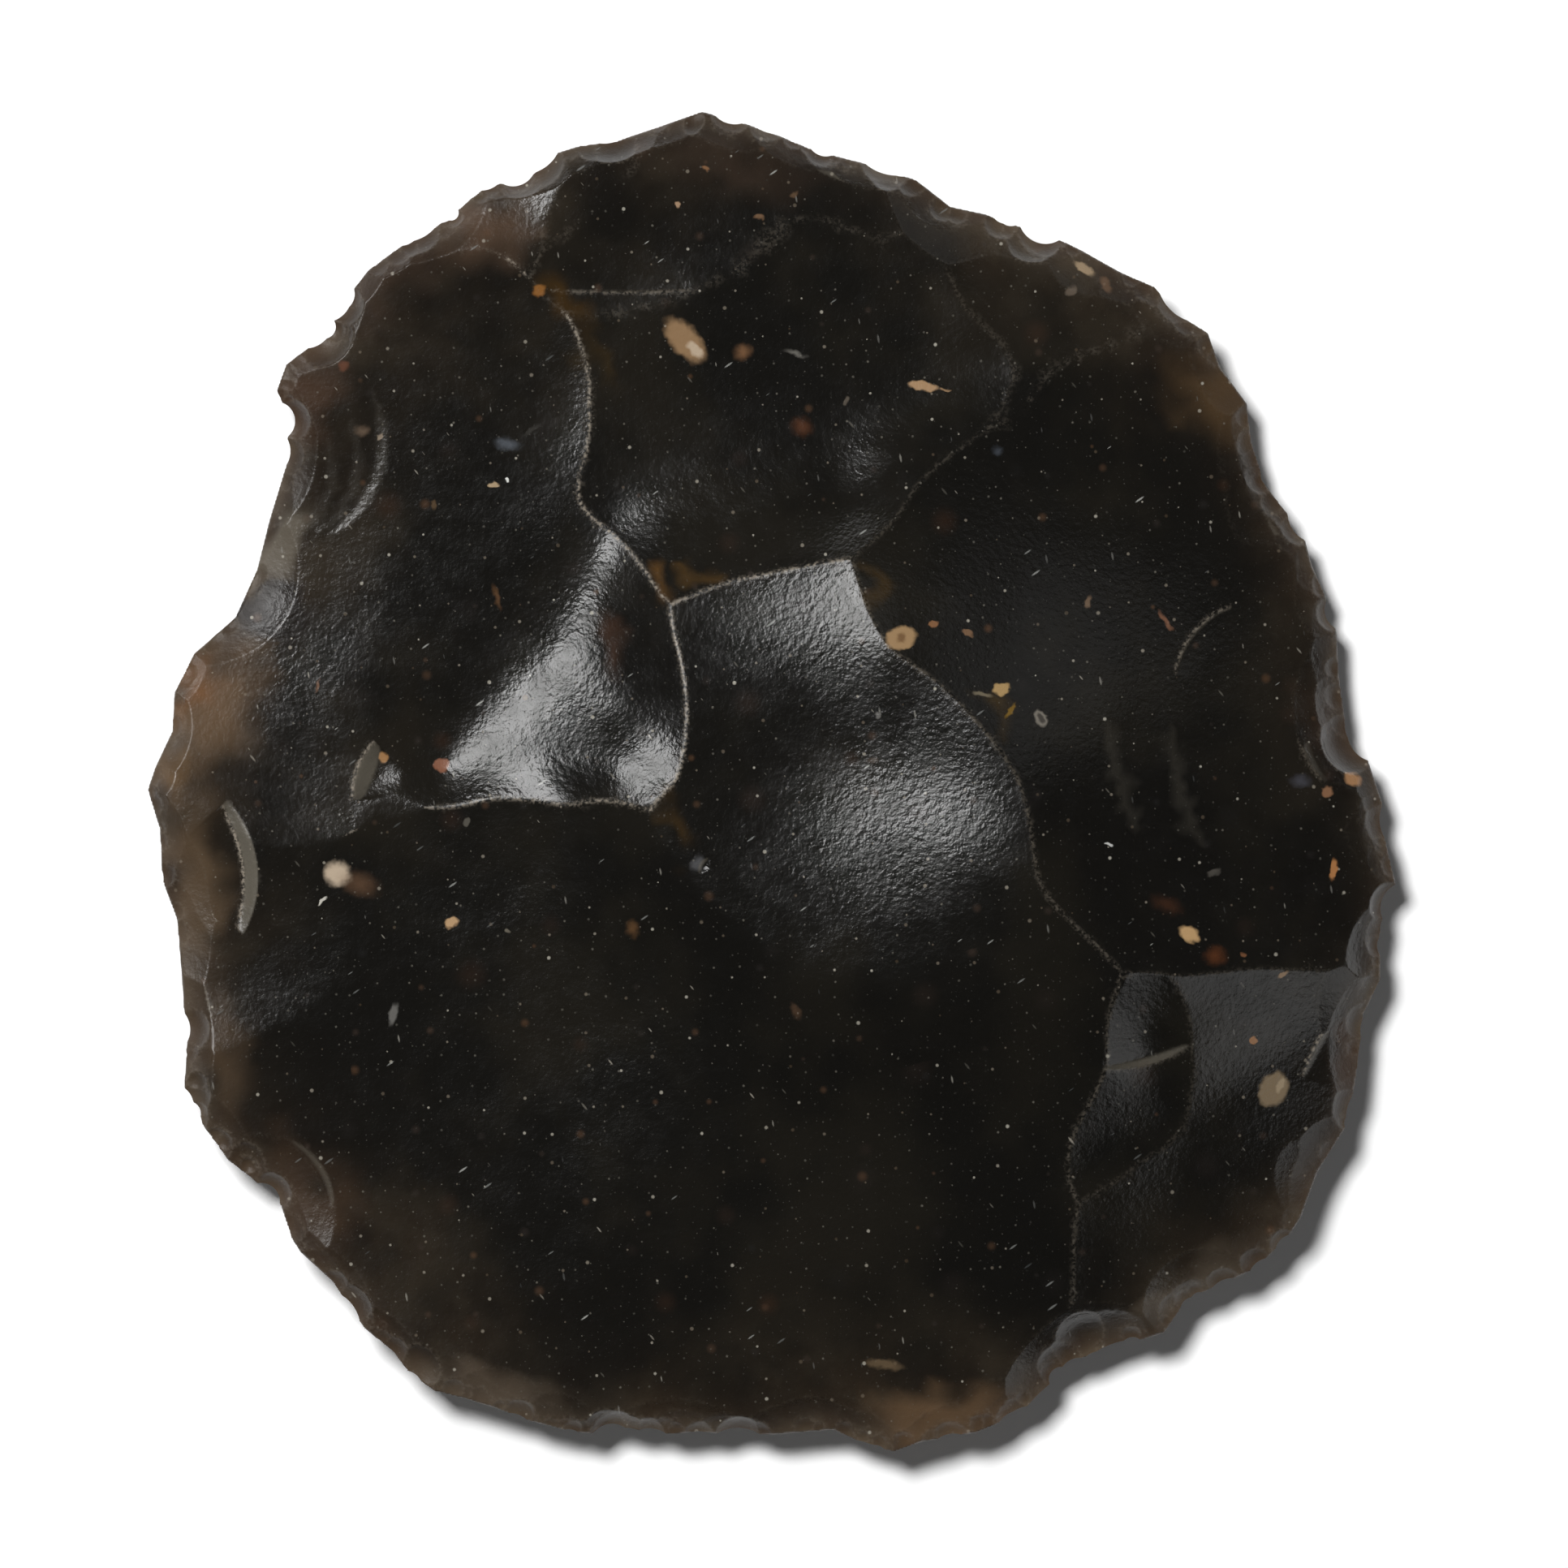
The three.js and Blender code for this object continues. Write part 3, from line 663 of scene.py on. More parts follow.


# Steps of the short flakes, from the left edge round to the belly of the lower scar; their
# frosting also paints light on the step walls
HINGES = (
    Hinge((-21.17, -3.35), 7, 4.7, 6.0, 0.65, 0.25, 2.5, frost_and_painted_light=0.7, crumb=0.9, at_foot=True),
    Hinge((-23.1, -9.5), 0, 2.4, 3.2, 0.45, 0.14, 0.8, frost_and_painted_light=0.45, crumb=0.2),
    Hinge((-17.1, 0.6), 160, 3.0, 2.7, 0.8, 0.16, 1.4, frost_and_painted_light=0.45, crumb=0.8),
    Hinge((-16.0, 12.6), -18, 4.3, 7.2, 0.5, 0.05, 0.9, frost_and_painted_light=0.1),
    Hinge((-17.0, 12.2), -18, 3.5, 6.0, 0.5, 0.035, 0.9, frost_and_painted_light=0.06),
    Hinge((-18.0, 11.9), -18, 2.7, 4.8, 0.5, 0.03, 0.9, frost_and_painted_light=0.06),
    Hinge((19.7, 11.3), 200, 3.2, 5.5, 0.5, 0.12, 1.5, frost_and_painted_light=0.25, crumb=0.15),
    Hinge((20.9, 10.8), 200, 1.8, 3.0, 0.35, 0.09, 0.8, frost_and_painted_light=0.35, crumb=0.3),
    Hinge((17.3, 6.2), 140, 3.5, 3.8, 0.16, 0.05, 1.2, frost_and_painted_light=0.3, crumb=0.5),
    Hinge((21.6, 2.15), 185, 3.2, 5.0, 0.4, 0.12, 1.5, frost_and_painted_light=0.2, crumb=0.25),
    Hinge((13.9, 0.15), 195, 8.0, 5.0, 0.6, 0.035, 1.6, frost_and_painted_light=0.1),
    Hinge((16.4, -0.3), 195, 7.0, 5.5, 0.6, 0.035, 1.6, frost_and_painted_light=0.1),
    Hinge((-3.0, -3.3), 150, 0.5, 0.9, 0.2, 0.06, 0.4, frost_and_painted_light=0.5),
    Hinge((-6.2, 20.15), 270, 40.0, 5.8, 0.12, 0.04, 1.2, frost_and_painted_light=0.2, crumb=0.3),
    Hinge((15.4, -11.6), 285, 6.0, 3.8, 0.4, 0.14, 1.2, frost_and_painted_light=0.4, crumb=0.15),
    Hinge((22.8, -9.9), 149, 12.0, 4.8, 0.3, 0.12, 1.5, frost_and_painted_light=0.3, crumb=0.8),
    Hinge((11.3, 21.75), 240, 12.0, 6.5, 0.3, 0.1, 1.0, frost_and_painted_light=0.35, crumb=0.1),
    Hinge((13.0, 20.4), 240, 9.0, 4.0, 0.3, 0.08, 1.0, frost_and_painted_light=0.3, crumb=0.1),
    Hinge((4.3, 24.4), 262, 8.0, 5.2, 0.5, 0.12, 1.2, frost_and_painted_light=0.35),
    Hinge((-18.4, -15.9), 30, 3.0, 3.8, 0.3, 0.08, 1.0, frost_and_painted_light=0.3),
    Hinge((-7.5, -18.5), 0, 60.0, 9.5, 0.9, 0.045, 4.0),
    Hinge((4.1, -17.5), 180, 60.0, 13.0, 0.9, 0.045, 4.0),
)


def linear(red: int, green: int, blue: int) -> tuple[float, float, float, float]:
    """Linear colour from the numbers that a screen shows.

    Args:
        red: Red from 0 to 255.
        green: Green from 0 to 255.
        blue: Blue from 0 to 255.

    Returns:
        Linear red, green and blue from 0 to 1, and a full alpha.
    """
    shares = [value / 255 for value in (red, green, blue)]
    light = [share / 12.92 if share <= 0.04045 else ((share + 0.055) / 1.055) ** 2.4
             for share in shares]
    return light[0], light[1], light[2], 1.0


@dataclass(frozen=True)
class Inclusion:
    """Pale grain or cloud in the flint, named by what it looks like.

    Attributes:
        place: x and y of its middle.
        size: Half its length and half its width.
        colour: Screen colour at its middle.
        turn: Direction of its length in degrees.
        blur: Share of its radius over which it fades, small at the surface.
        strength: How much of the dark stone it hides.
        outer: Share of its radius at which it ends.
    """

    place: tuple[float, float]
    size: tuple[float, float]
    colour: tuple[int, int, int]
    turn: float = 0.0
    blur: float = 0.3
    strength: float = 0.9
    outer: float = 1.15

    def mask(self, x: np.ndarray, y: np.ndarray) -> np.ndarray:
        """How much of the dark stone the inclusion hides at each point.

        Args:
            x: Coordinate across of each point.
            y: Coordinate along of each point.

        Returns:
            Strength from 0 to 1.
        """
        angle = math.radians(self.turn)
        across, along = x - self.place[0], y - self.place[1]
        own_x = (across * math.cos(angle) + along * math.sin(angle)) / self.size[0]
        own_y = (along * math.cos(angle) - across * math.sin(angle)) / self.size[1]
        core = 1 - self.blur
        share = np.clip((self.outer - np.hypot(own_x, own_y)) / (self.outer - core), 0, 1)
        return self.strength * smooth_step(share)


# Broad clouds where the stone is thin or stained, from the left tip clockwise
CLOUDS = (
    Inclusion((-22.9, 3.1), (3.4, 2.2), (96, 76, 56), turn=65, blur=0.9, strength=0.8),
    Inclusion((-23.6, 3.7), (1.5, 1.1), (110, 74, 43), turn=65, blur=1.0, strength=0.7),
    Inclusion((-24.9, 0.3), (1.6, 1.2), (104, 82, 58), turn=80, blur=1.0, strength=0.7),
    Inclusion((-20.6, 6.6), (1.7, 1.5), (24, 20, 18), blur=0.35, strength=0.85),
    Inclusion((-20.2, 9.5), (1.9, 0.9), (102, 95, 84), turn=65, blur=0.7, strength=0.7),
    Inclusion((-19.4, 15.9), (2.6, 2.0), (69, 50, 37), turn=60, blur=1.0, strength=0.7),
    Inclusion((-15.7, 20.6), (2.8, 1.6), (61, 48, 39), turn=45, blur=1.0, strength=0.6),
    Inclusion((-11.7, 22.8), (3.0, 1.7), (80, 63, 50), turn=35, blur=0.9, strength=0.75),
    Inclusion((-1.5, 25.6), (4.5, 1.6), (54, 43, 35), turn=-10, blur=1.0, strength=0.6),
    Inclusion((18.2, 16.0), (2.9, 1.9), (74, 57, 38), turn=-55, blur=1.0, strength=0.8),
    Inclusion((22.8, 2.2), (2.4, 1.2), (52, 40, 32), turn=100, blur=1.0, strength=0.6),
    Inclusion((23.6, -11.2), (2.6, 0.9), (61, 45, 33), turn=80, blur=0.8, strength=0.7),
    Inclusion((16.5, -21.2), (4.6, 1.0), (78, 69, 58), turn=33, blur=0.9, strength=0.6),
    Inclusion((6.8, -25.8), (3.6, 1.5), (97, 76, 55), turn=8, blur=0.9, strength=0.8),
    Inclusion((-11.7, -24.8), (3.8, 1.2), (84, 73, 61), turn=-15, blur=0.9, strength=0.6),
    Inclusion((-19.4, -17.2), (3.6, 2.2), (69, 53, 40), turn=-50, blur=1.0, strength=0.65),
    Inclusion((-22.9, -11.4), (3.6, 1.6), (74, 60, 46), turn=100, blur=1.0, strength=0.7),
    Inclusion((-23.8, -4.0), (4.6, 1.7), (87, 71, 54), turn=92, blur=0.9, strength=0.75),
    Inclusion((-4.7, 8.1), (1.0, 0.5), (89, 63, 32), turn=-40, blur=1.0, strength=0.7),
    Inclusion((-2.9, 8.4), (1.0, 0.4), (73, 54, 28), turn=15, blur=1.0, strength=0.6),
    Inclusion((-8.7, 19.6), (2.0, 0.8), (65, 46, 20), turn=-50, blur=1.0, strength=0.65),
    Inclusion((-7.2, 17.2), (1.8, 0.7), (54, 41, 20), turn=-60, blur=1.0, strength=0.5),
    Inclusion((-6.6, 5.6), (1.6, 0.9), (65, 46, 35), turn=-60, blur=1.0, strength=0.6),
    Inclusion((-4.0, -1.8), (1.6, 0.6), (58, 43, 22), turn=-60, blur=1.0, strength=0.6),
    Inclusion((3.9, 8.4), (1.3, 0.6), (60, 45, 22), turn=-60, blur=1.0, strength=0.6),
    Inclusion((9.0, 3.0), (1.2, 0.5), (61, 46, 19), turn=-50, blur=1.0, strength=0.6),
)


@dataclass
class Relief:
    """Upper and lower face of the stone as heights on a grid, with masks of wearing, frosting and
    painted light.

    Attributes:
        grid: Points that the heights are worked out at.
        outline: Outline of the disc.
        belly: Shape of the lower face.
        ridge_round: Rounding of the ridges, in height.
        roll_round: Rounding of the soft roll between the middle and the lower scar.
        waviness: Height of the waves in the large scars.
        waviness_length: Distance from one wave to the next.
        arris_width: Width of the mark along a ridge.
        least_slope: Least difference in slope that a mark is worked out with.
        farthest_mark: Farthest in height that a mark reaches from a small scar's ridge.
        far_gap: Height over the face that stands for "not under the small scar".
        rim_sharpness: Thickness of the stone at its rim.
        rim_bevel: Slope of the upper face right at the rim.
        rim_band: Distance inwards over which that slope is looked for.
        edge_scar_left: Thickness that the larger scars leave at the rim.
        edge_scar_radius: Radius of their spheres against the distance between their ends.
        edge_scar_wear_and_highlight: Mark along their ridges, crushing with a painted highlight.
        retouch_reach: How far the retouch runs in, and how much farther per span.
        retouch_radius: Radius of its spheres, and how much more per span.
        retouch_wear_and_highlight: Mark along its ridges, crushing with a painted highlight.
        long_every: Every how many spans the retouch is longer.
        long_factor: How much longer it is there.
        nibbles: Number of the finest scars.
        nibble_width: Least and greatest width of the finest scars.
        nibble_reach: Least and greatest reach of the finest scars against their width.
        nibble_radius: Least and greatest radius of the finest scars against their width.
        nibble_turn: Usual turn of the finest scars away from the rim, in radians.
        nibble_wear_and_highlight: Mark along their ridges, crushing with a painted highlight.
        nibble_step: Step in which the firm edge of the stone is looked for.
        nibble_steps: Largest number of those steps.
        nibble_seed: Number that the draw of the finest scars starts from.
        cloud_ragged: How ragged the broad clouds are.
        cloud_length: Distance from one notch in a cloud to the next.
        cloud_seeds: Numbers that the draws of those notches start from.
    """

    grid: Grid
    outline: Outline = field(default_factory=Outline)
    belly: Belly = field(default_factory=Belly)
    ridge_round: float = 0.012
    roll_round: float = 0.16
    waviness: float = 0.005
    waviness_length: float = 3.0
    arris_width: float = 0.075
    least_slope: float = 0.12
    farthest_mark: float = 0.3
    far_gap: float = 9.0
    rim_sharpness: float = 0.2
    rim_bevel: float = 8.0
    rim_band: float = 3.0
    edge_scar_left: float = 0.4
    edge_scar_radius: float = 3.6
    edge_scar_wear_and_highlight: float = 0.03
    retouch_reach: tuple[float, float] = (0.4, 0.2)
    retouch_radius: tuple[float, float] = (3.0, 1.7)
    retouch_wear_and_highlight: float = 0.04
    long_every: int = 4
    long_factor: float = 1.5
    nibbles: int = 300
    nibble_width: tuple[float, float] = (0.25, 0.9)
    nibble_reach: tuple[float, float] = (0.3, 0.6)
    nibble_radius: tuple[float, float] = (1.6, 3.0)
    nibble_turn: float = 0.25
    nibble_wear_and_highlight: float = 0.12
    nibble_step: float = 0.05
    nibble_steps: int = 24
    nibble_seed: int = 7
    cloud_ragged: float = 0.35
    cloud_length: float = 1.6
    cloud_seeds: tuple[int, int] = (101, 102)

    def __post_init__(self) -> None:
        """Knaps the stone, from the large scars to the finest of the edge."""
        x, y = self.grid.coordinates()
        self.lower = self.belly.height(x, y)
        self.frost_and_painted_light = np.zeros_like(self.lower)
        self.upper = self.flake()
        self.break_hinges()
        self.square_rim()
        self.bevel()
        self.retouch()
        self.nibble()
        self.stain()
        self.lower = np.maximum(self.lower, self.belly.rest_depth) - self.belly.rest_depth
        self.upper = self.upper - self.belly.rest_depth
        self.thickness = self.upper - self.lower

    def flake(self) -> np.ndarray:
        """Takes the large flakes off and marks the ridges with crushing and a painted highlight.

        Returns:
            Height of the upper face.
        """
        heights = []
        for seed, scar in enumerate(SCARS.values()):
            wave = self.grid.roughness(self.waviness_length, seed)
            heights.append(scar.height(self.grid, self.outline, self.belly) + self.waviness * wave)
        names = list(SCARS)
        stack = np.stack(heights)
        order = np.argsort(stack, axis=0)[:2]
        lowest = np.take_along_axis(stack, order, axis=0)
        # Crushing and a painted highlight along the ridges
        self.arris = self.ridge_mark(lowest[1] - lowest[0], self.ridge_wear_and_highlight(order, names))
        roll = self.soft_least([stack[names.index("centre")], stack[names.index("bottom")]],
                               self.roll_round)
        others = [h for name, h in zip(names, heights) if name not in ("centre", "bottom")]
        return self.soft_least([roll, *others], self.ridge_round)

    @staticmethod
    def ridge_wear_and_highlight(order: np.ndarray, names: list[str]) -> np.ndarray:
        """Wearing of the ridge between the two lowest scars at every point, with the highlight
        painted along it.

        Args:
            order: Numbers of the lowest and the next lowest scar.
            names: Names of the scars, in the order of those numbers.

        Returns:
            Strength of the wearing and painted highlight, from 0 to 1.
        """
        table = np.full((len(names), len(names)), USUAL_WEAR_AND_HIGHLIGHT)
        for (first, second), wear_and_highlight in WORN_AND_HIGHLIT_RIDGES.items():
            i, j = names.index(first), names.index(second)
            table[i, j] = table[j, i] = wear_and_highlight
        return table[order[0], order[1]]

    def ridge_mark(self, gap: np.ndarray, wear_and_highlight: Any) -> np.ndarray:
        """Mark along the ridge in which two surfaces meet: crushing, and a highlight painted along
        it.

        Args:
            gap: Height of the one surface over the other.
            wear_and_highlight: Strength of the mark, one number or an array.

        Returns:
            Mark at every point.
        """
        across, along = self.grid.slopes(gap)
        distance = np.abs(gap) / np.maximum(np.hypot(across, along), self.least_slope)
        return wear_and_highlight * np.exp(-(distance / self.arris_width) ** 2)

    @staticmethod
    def soft_least(heights: list[np.ndarray], rounding: float) -> np.ndarray:
        """Least of several heights, with rounded ridges.

        Args:
            heights: Heights to take the least of.
            rounding: How far the rounding reaches, in height.

        Returns:
            Height at every point.
        """
        stack = np.stack(heights)
        least = stack.min(axis=0)
        return least - rounding * np.log(np.exp((least - stack) / rounding).sum(axis=0))

    def break_hinges(self) -> None:
        """Lets the short flakes down into the upper face."""
        x, y = self.grid.coordinates()
        for hinge in HINGES:
            reach = hinge.length / 2 + hinge.wall + hinge.run
            window = self.grid.window(*hinge.middle, reach)
            drop, frost_and_painted_light, crumb = hinge.shape(x[window], y[window])
            self.upper[window] -= drop
            # Frosting and painted light on the step walls
            self.frost_and_painted_light[window] = np.maximum(self.frost_and_painted_light[window], frost_and_painted_light)
            self.arris[window] = np.maximum(self.arris[window], crumb)

    def stain(self) -> None:
        """Lays the broad clouds over each other."""
        x, y = self.grid.coordinates()
        x, y = (axis + self.cloud_ragged * self.grid.roughness(self.cloud_length, seed)
                for axis, seed in zip((x, y), self.cloud_seeds))
        self.cloud = np.zeros_like(x)
        self.tint = np.zeros((*x.shape, 3))
        for cloud in CLOUDS:
            mask = cloud.mask(x, y)
            total = self.cloud + mask - self.cloud * mask
            share = mask / np.maximum(total, 1e-6)
            self.tint += share[..., None] * (np.array(linear(*cloud.colour)[:3]) - self.tint)
            self.cloud = total

    def square_rim(self) -> None:
        """Brings the upper face down to the lower one along the outline."""
        depth = self.outline.depth(self.grid, self.rim_band)
        wall = self.lower + self.rim_sharpness + self.rim_bevel * depth
        self.upper = np.where(depth < self.rim_band, np.minimum(self.upper, wall), self.upper)

    def height_at(self, surface: np.ndarray, x: float, y: float) -> float:
        """Height of a surface at the grid point nearest to a place.

        Args:
            surface: Height at every point.
            x: Coordinate across of the place.
            y: Coordinate along of the place.

        Returns:
            The height there.
        """
        row = round((y + self.grid.half_width) / self.grid.step)
        column = round((x + self.grid.half_width) / self.grid.step)
        return float(surface[row, column])

    def cut(self, bite: Bite, wear_and_highlight: float, face: np.ndarray, left: float = 0.0) -> None:
        """Takes one small scar off the edge.

        Args:
            bite: The scar.
            wear_and_highlight: Strength of the mark along the scar's ridge.
            face: Upper face that the scar's inner end is set on.
            left: Thickness that the scar leaves at the rim.
        """
        rims = [self.height_at(self.lower, *point) + (left or self.rim_sharpness)
                for point in (bite.start, bite.end)]
        inner = self.height_at(face, *bite.inner)
        centre, radius = bite.sphere((rims[0], rims[1]), inner)
        window = self.grid.window(centre[0], centre[1], radius)
        ticks = self.grid.ticks
        across = ticks[window[1]][None, :] - centre[0]
        along = ticks[window[0]][:, None] - centre[1]
        below = radius ** 2 - across ** 2 - along ** 2
        under = np.where(below > 0, centre[2] - np.sqrt(np.maximum(below, 0)), np.inf)
        upper = self.upper[window]
        gap = np.where(below > 0, under - upper, self.far_gap)
        mark = np.where(np.abs(gap) < self.farthest_mark, self.ridge_mark(gap, wear_and_highlight), 0)
        kept = np.where(gap < 0, 0, self.arris[window])
        self.arris[window] = np.maximum(kept, mark)
        self.frost_and_painted_light[window] = np.where(gap < 0, 0, self.frost_and_painted_light[window])
        self.upper[window] = np.minimum(upper, under)

    def bevel(self) -> None:
        """Takes the larger flakes off the edge."""
        face = self.upper.copy()
        for first, last, reach in EDGE_SCARS:
            start, end = self.outline.rim_point(first), self.outline.rim_point(last)
            radius = float(np.linalg.norm(end - start)) * self.edge_scar_radius
            bite = Bite(start, end, reach, radius)
            self.cut(bite, self.edge_scar_wear_and_highlight, face, self.edge_scar_left)

    def retouch(self) -> None:
        """Cuts one scar into the edge between each cusp and the next."""
        face = self.upper.copy()
        for number, (start, end) in enumerate(self.outline.spans):
            span = float(np.linalg.norm(end - start))
            long = self.long_factor if number % self.long_every == 0 else 1
            reach = (self.retouch_reach[0] + self.retouch_reach[1] * span) * long
            radius = (self.retouch_radius[0] + self.retouch_radius[1] * span) * long
            self.cut(Bite(start, end, reach, radius), self.retouch_wear_and_highlight, face)

    def nibble(self) -> None:
        """Breaks the edge with the finest scars."""
        draw = np.random.default_rng(self.nibble_seed)
        spans = self.outline.spans
        for _ in range(self.nibbles):
            start, end = spans[draw.integers(len(spans))]
            side = (end - start) / np.linalg.norm(end - start)
            inward = np.array([side[1], -side[0]])
            place = start + (end - start) * draw.random()
            for _ in range(self.nibble_steps):
                top = self.height_at(self.upper, *place)
                if top - self.height_at(self.lower, *place) > self.rim_sharpness:
                    break
                place = place + inward * self.nibble_step
            width = draw.uniform(*self.nibble_width)
            turn = draw.normal(0, self.nibble_turn)
            side = np.array([side[0] * math.cos(turn) - side[1] * math.sin(turn),
                             side[0] * math.sin(turn) + side[1] * math.cos(turn)])
            bite = Bite(place - side * width / 2, place + side * width / 2,
                        width * draw.uniform(*self.nibble_reach),
                        width * draw.uniform(*self.nibble_radius))
            self.cut(bite, self.nibble_wear_and_highlight, self.upper)


def packed_shift(outline: Outline) -> np.ndarray:
    """Move from the outline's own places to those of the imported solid.

    Args:
        outline: Outline of the disc.

    Returns:
        The move across and along, in millimetres.
    """
    low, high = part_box(STONE_NODE)
    middle = (np.array(low) + np.array(high)) / 2 * METRE
    return middle[:2] - outline.middle


@dataclass
class Skin:
    """Mesh over both faces of the stone, fine where the surface turns and coarse elsewhere.

    Attributes:
        relief: Faces that the mesh covers.
        height_limit: Largest miss in height that the mesh may have.
        slope_limit: Largest miss in slope.
        mask_limit: Largest miss in the masks of wearing, frosting with painted light, and clouds.
        forced: Miss of a point at which the mesh is always split.
        far_off: Thickness below which the faces past the rim are left flat.
        off: Thickness below which nothing past the rim is followed.
        rim_share: Least and greatest share of a grid edge at which the rim may cut it.
    """

    relief: Relief
    height_limit: float = 0.006
    slope_limit: float = 0.045
    mask_limit: float = 0.12
    forced: float = 1e9
    far_off: float = -0.05
    off: float = -0.02
    rim_share: tuple[float, float] = (0.06, 0.94)

    @staticmethod
    def own_miss(fields: list[tuple[np.ndarray, float]], rows: np.ndarray, columns: np.ndarray,
                 d_row: Any, d_column: Any) -> np.ndarray:
        """Miss of edges that run straight past their middle points.

        Args:
            fields: Each quantity that the mesh follows, with its limit.
            rows: Rows of the middle points.
            columns: Columns of the middle points.
            d_row: Rows from the middle to the ends of each edge.
            d_column: Columns from the middle to the ends of each edge.

        Returns:
            The miss in limits, by row and column.
        """
        r, c = rows[:, None], columns[None, :]
        most = np.zeros((len(rows), len(columns)))
        for values, limit in fields:
            ends = values[r - d_row, c - d_column] + values[r + d_row, c + d_column]
            most = np.maximum(most, np.abs(values[r, c] - ends / 2) / limit)
        return most

    @staticmethod
    def raise_miss(miss: np.ndarray, rows: np.ndarray, columns: np.ndarray, own: np.ndarray,
                   steps: list[tuple[int, int]]) -> None:
        """Raises the miss of some points to that of the finer points round them.

        Args:
            miss: Largest miss at every grid point, changed in place.
            rows: Rows of the points.
            columns: Columns of the points.
            own: Miss of the points themselves.
            steps: Rows and columns from a point to the finer ones.
        """
        last = len(miss) - 1
        r, c = rows[:, None], columns[None, :]
        most = np.maximum(miss[r, c], own)
        for d_row, d_column in steps:
            near = np.clip(r + d_row, 0, last), np.clip(c + d_column, 0, last)
            most = np.maximum(most, miss[near])
        miss[r, c] = most

    def misses(self, fields: list[tuple[np.ndarray, float]], forced: np.ndarray) -> np.ndarray:
        """Largest miss, in limits, of a triangle that isn't split at each grid point.

        Args:
            fields: Each quantity that the mesh follows, with its limit.
            forced: Points at which a triangle is always split.

        Returns:
            The miss at every grid point, never less than at the finer points below it.
        """
        cells = self.relief.grid.cells
        miss = np.where(forced, self.forced, 0.0)
        size = 1
        while size < cells:
            odd = np.arange(size, cells, 2 * size)
            even = np.arange(0, cells + 1, 2 * size)
            half = size // 2
            corners = [(a, b) for a in (-half, half) for b in (-half, half)] if half else []
            self.raise_miss(miss, even, odd, self.own_miss(fields, even, odd, 0, size), corners)
            self.raise_miss(miss, odd, even, self.own_miss(fields, odd, even, size, 0), corners)
            quarter = (odd // size) % 4
            slant = np.where(quarter[:, None] == quarter[None, :], size, -size)
            sides = [(-size, 0), (size, 0), (0, -size), (0, size)]
            self.raise_miss(miss, odd, odd, self.own_miss(fields, odd, odd, size, slant), sides)
            size *= 2
        return miss

    def split(self, miss: np.ndarray) -> np.ndarray:
        """Splits the square over the stone until no triangle misses by more than a limit.

        Args:
            miss: Largest miss at every grid point.

        Returns:
            Grid points of each triangle's corners, as triangles by corners by row and column.
        """
        cells = self.relief.grid.cells
        corners = [[(0, 0), (cells, cells), (0, cells)], [(cells, cells), (0, 0), (cells, 0)]]
        triangles = np.array(corners)
        done = []
        while len(triangles):
            first, second, apex = triangles[:, 0], triangles[:, 1], triangles[:, 2]
            whole = ((first + second) % 2 == 0).all(axis=1)
            middle = (first + second) // 2
            parted = whole & (miss[middle[:, 0], middle[:, 1]] > 1)
            done.append(triangles[~parted])
            first, second = first[parted], second[parted]
            apex, middle = apex[parted], middle[parted]
            triangles = np.concatenate([
                np.stack([apex, first, middle], axis=1),
                np.stack([second, apex, middle], axis=1),
            ])
        return np.concatenate(done)

    def faces(self, side: Side) -> np.ndarray:
        """Triangles over one face of the stone, still running past the rim.

        Args:
            side: Face of the stone.

        Returns:
            Flat grid numbers of the corners of each triangle that touches the stone.
        """
        relief = self.relief
        stone = relief.thickness > 0
        mixed = np.zeros_like(stone)
        cell = stone[:-1, :-1].astype(int) + stone[1:, :-1] + stone[:-1, 1:] + stone[1:, 1:]
        edge = (cell > 0) & (cell < 4)
        for rows in (slice(None, -1), slice(1, None)):
            for columns in (slice(None, -1), slice(1, None)):
                mixed[rows, columns] |= edge
        surface = relief.upper if side is Side.UPPER else relief.lower
        inner = np.where(relief.thickness > self.far_off, surface, 0)
        across, along = relief.grid.slopes(inner)
        fields = [(inner, self.height_limit), (across, self.slope_limit),
                  (along, self.slope_limit), (relief.cloud, self.mask_limit)]
        if side is Side.UPPER:
            fields.append((relief.arris, self.mask_limit))
            fields.append((relief.frost_and_painted_light, self.mask_limit))
        away = relief.thickness < self.off
        kept = [(np.where(away, 0, values), limit) for values, limit in fields]
        triangles = self.split(self.misses(kept, mixed))
        numbers = triangles[..., 0] * (relief.grid.cells + 1) + triangles[..., 1]
        touching = stone.ravel()[numbers].any(axis=1)
        return numbers[touching]

    def clip(self, numbers: np.ndarray) -> np.ndarray:
        """Cuts triangles off at the rim, where the stone has no thickness.

        Args:
            numbers: Flat grid numbers of the corners of each triangle.

        Returns:
            Triangles by corners by pairs of grid numbers. A corner between a point on the
            stone and one off it lies on the rim, and a corner on the grid repeats its number.
        """
        stone = self.relief.thickness.ravel() > 0
        on = stone[numbers]
        count = on.sum(axis=1)
        whole = numbers[count == 3]
        pieces = [np.stack([whole, whole], axis=2)]
        for wanted, lone_on in ((1, True), (2, False)):
            some = numbers[count == wanted]
            lone = np.argmax(on[count == wanted] == lone_on, axis=1)
            rows = np.arange(len(some))
            a, b, c = (some[rows, (lone + k) % 3] for k in range(3))
            if lone_on:
                corners = [[(a, a), (a, b), (a, c)]]
            else:
                corners = [[(b, b), (c, c), (c, a)], [(b, b), (c, a), (b, a)]]
            for corner in corners:
                pairs = [np.stack(pair, axis=1) for pair in corner]
                pieces.append(np.stack(pairs, axis=1))
        return np.concatenate(pieces)

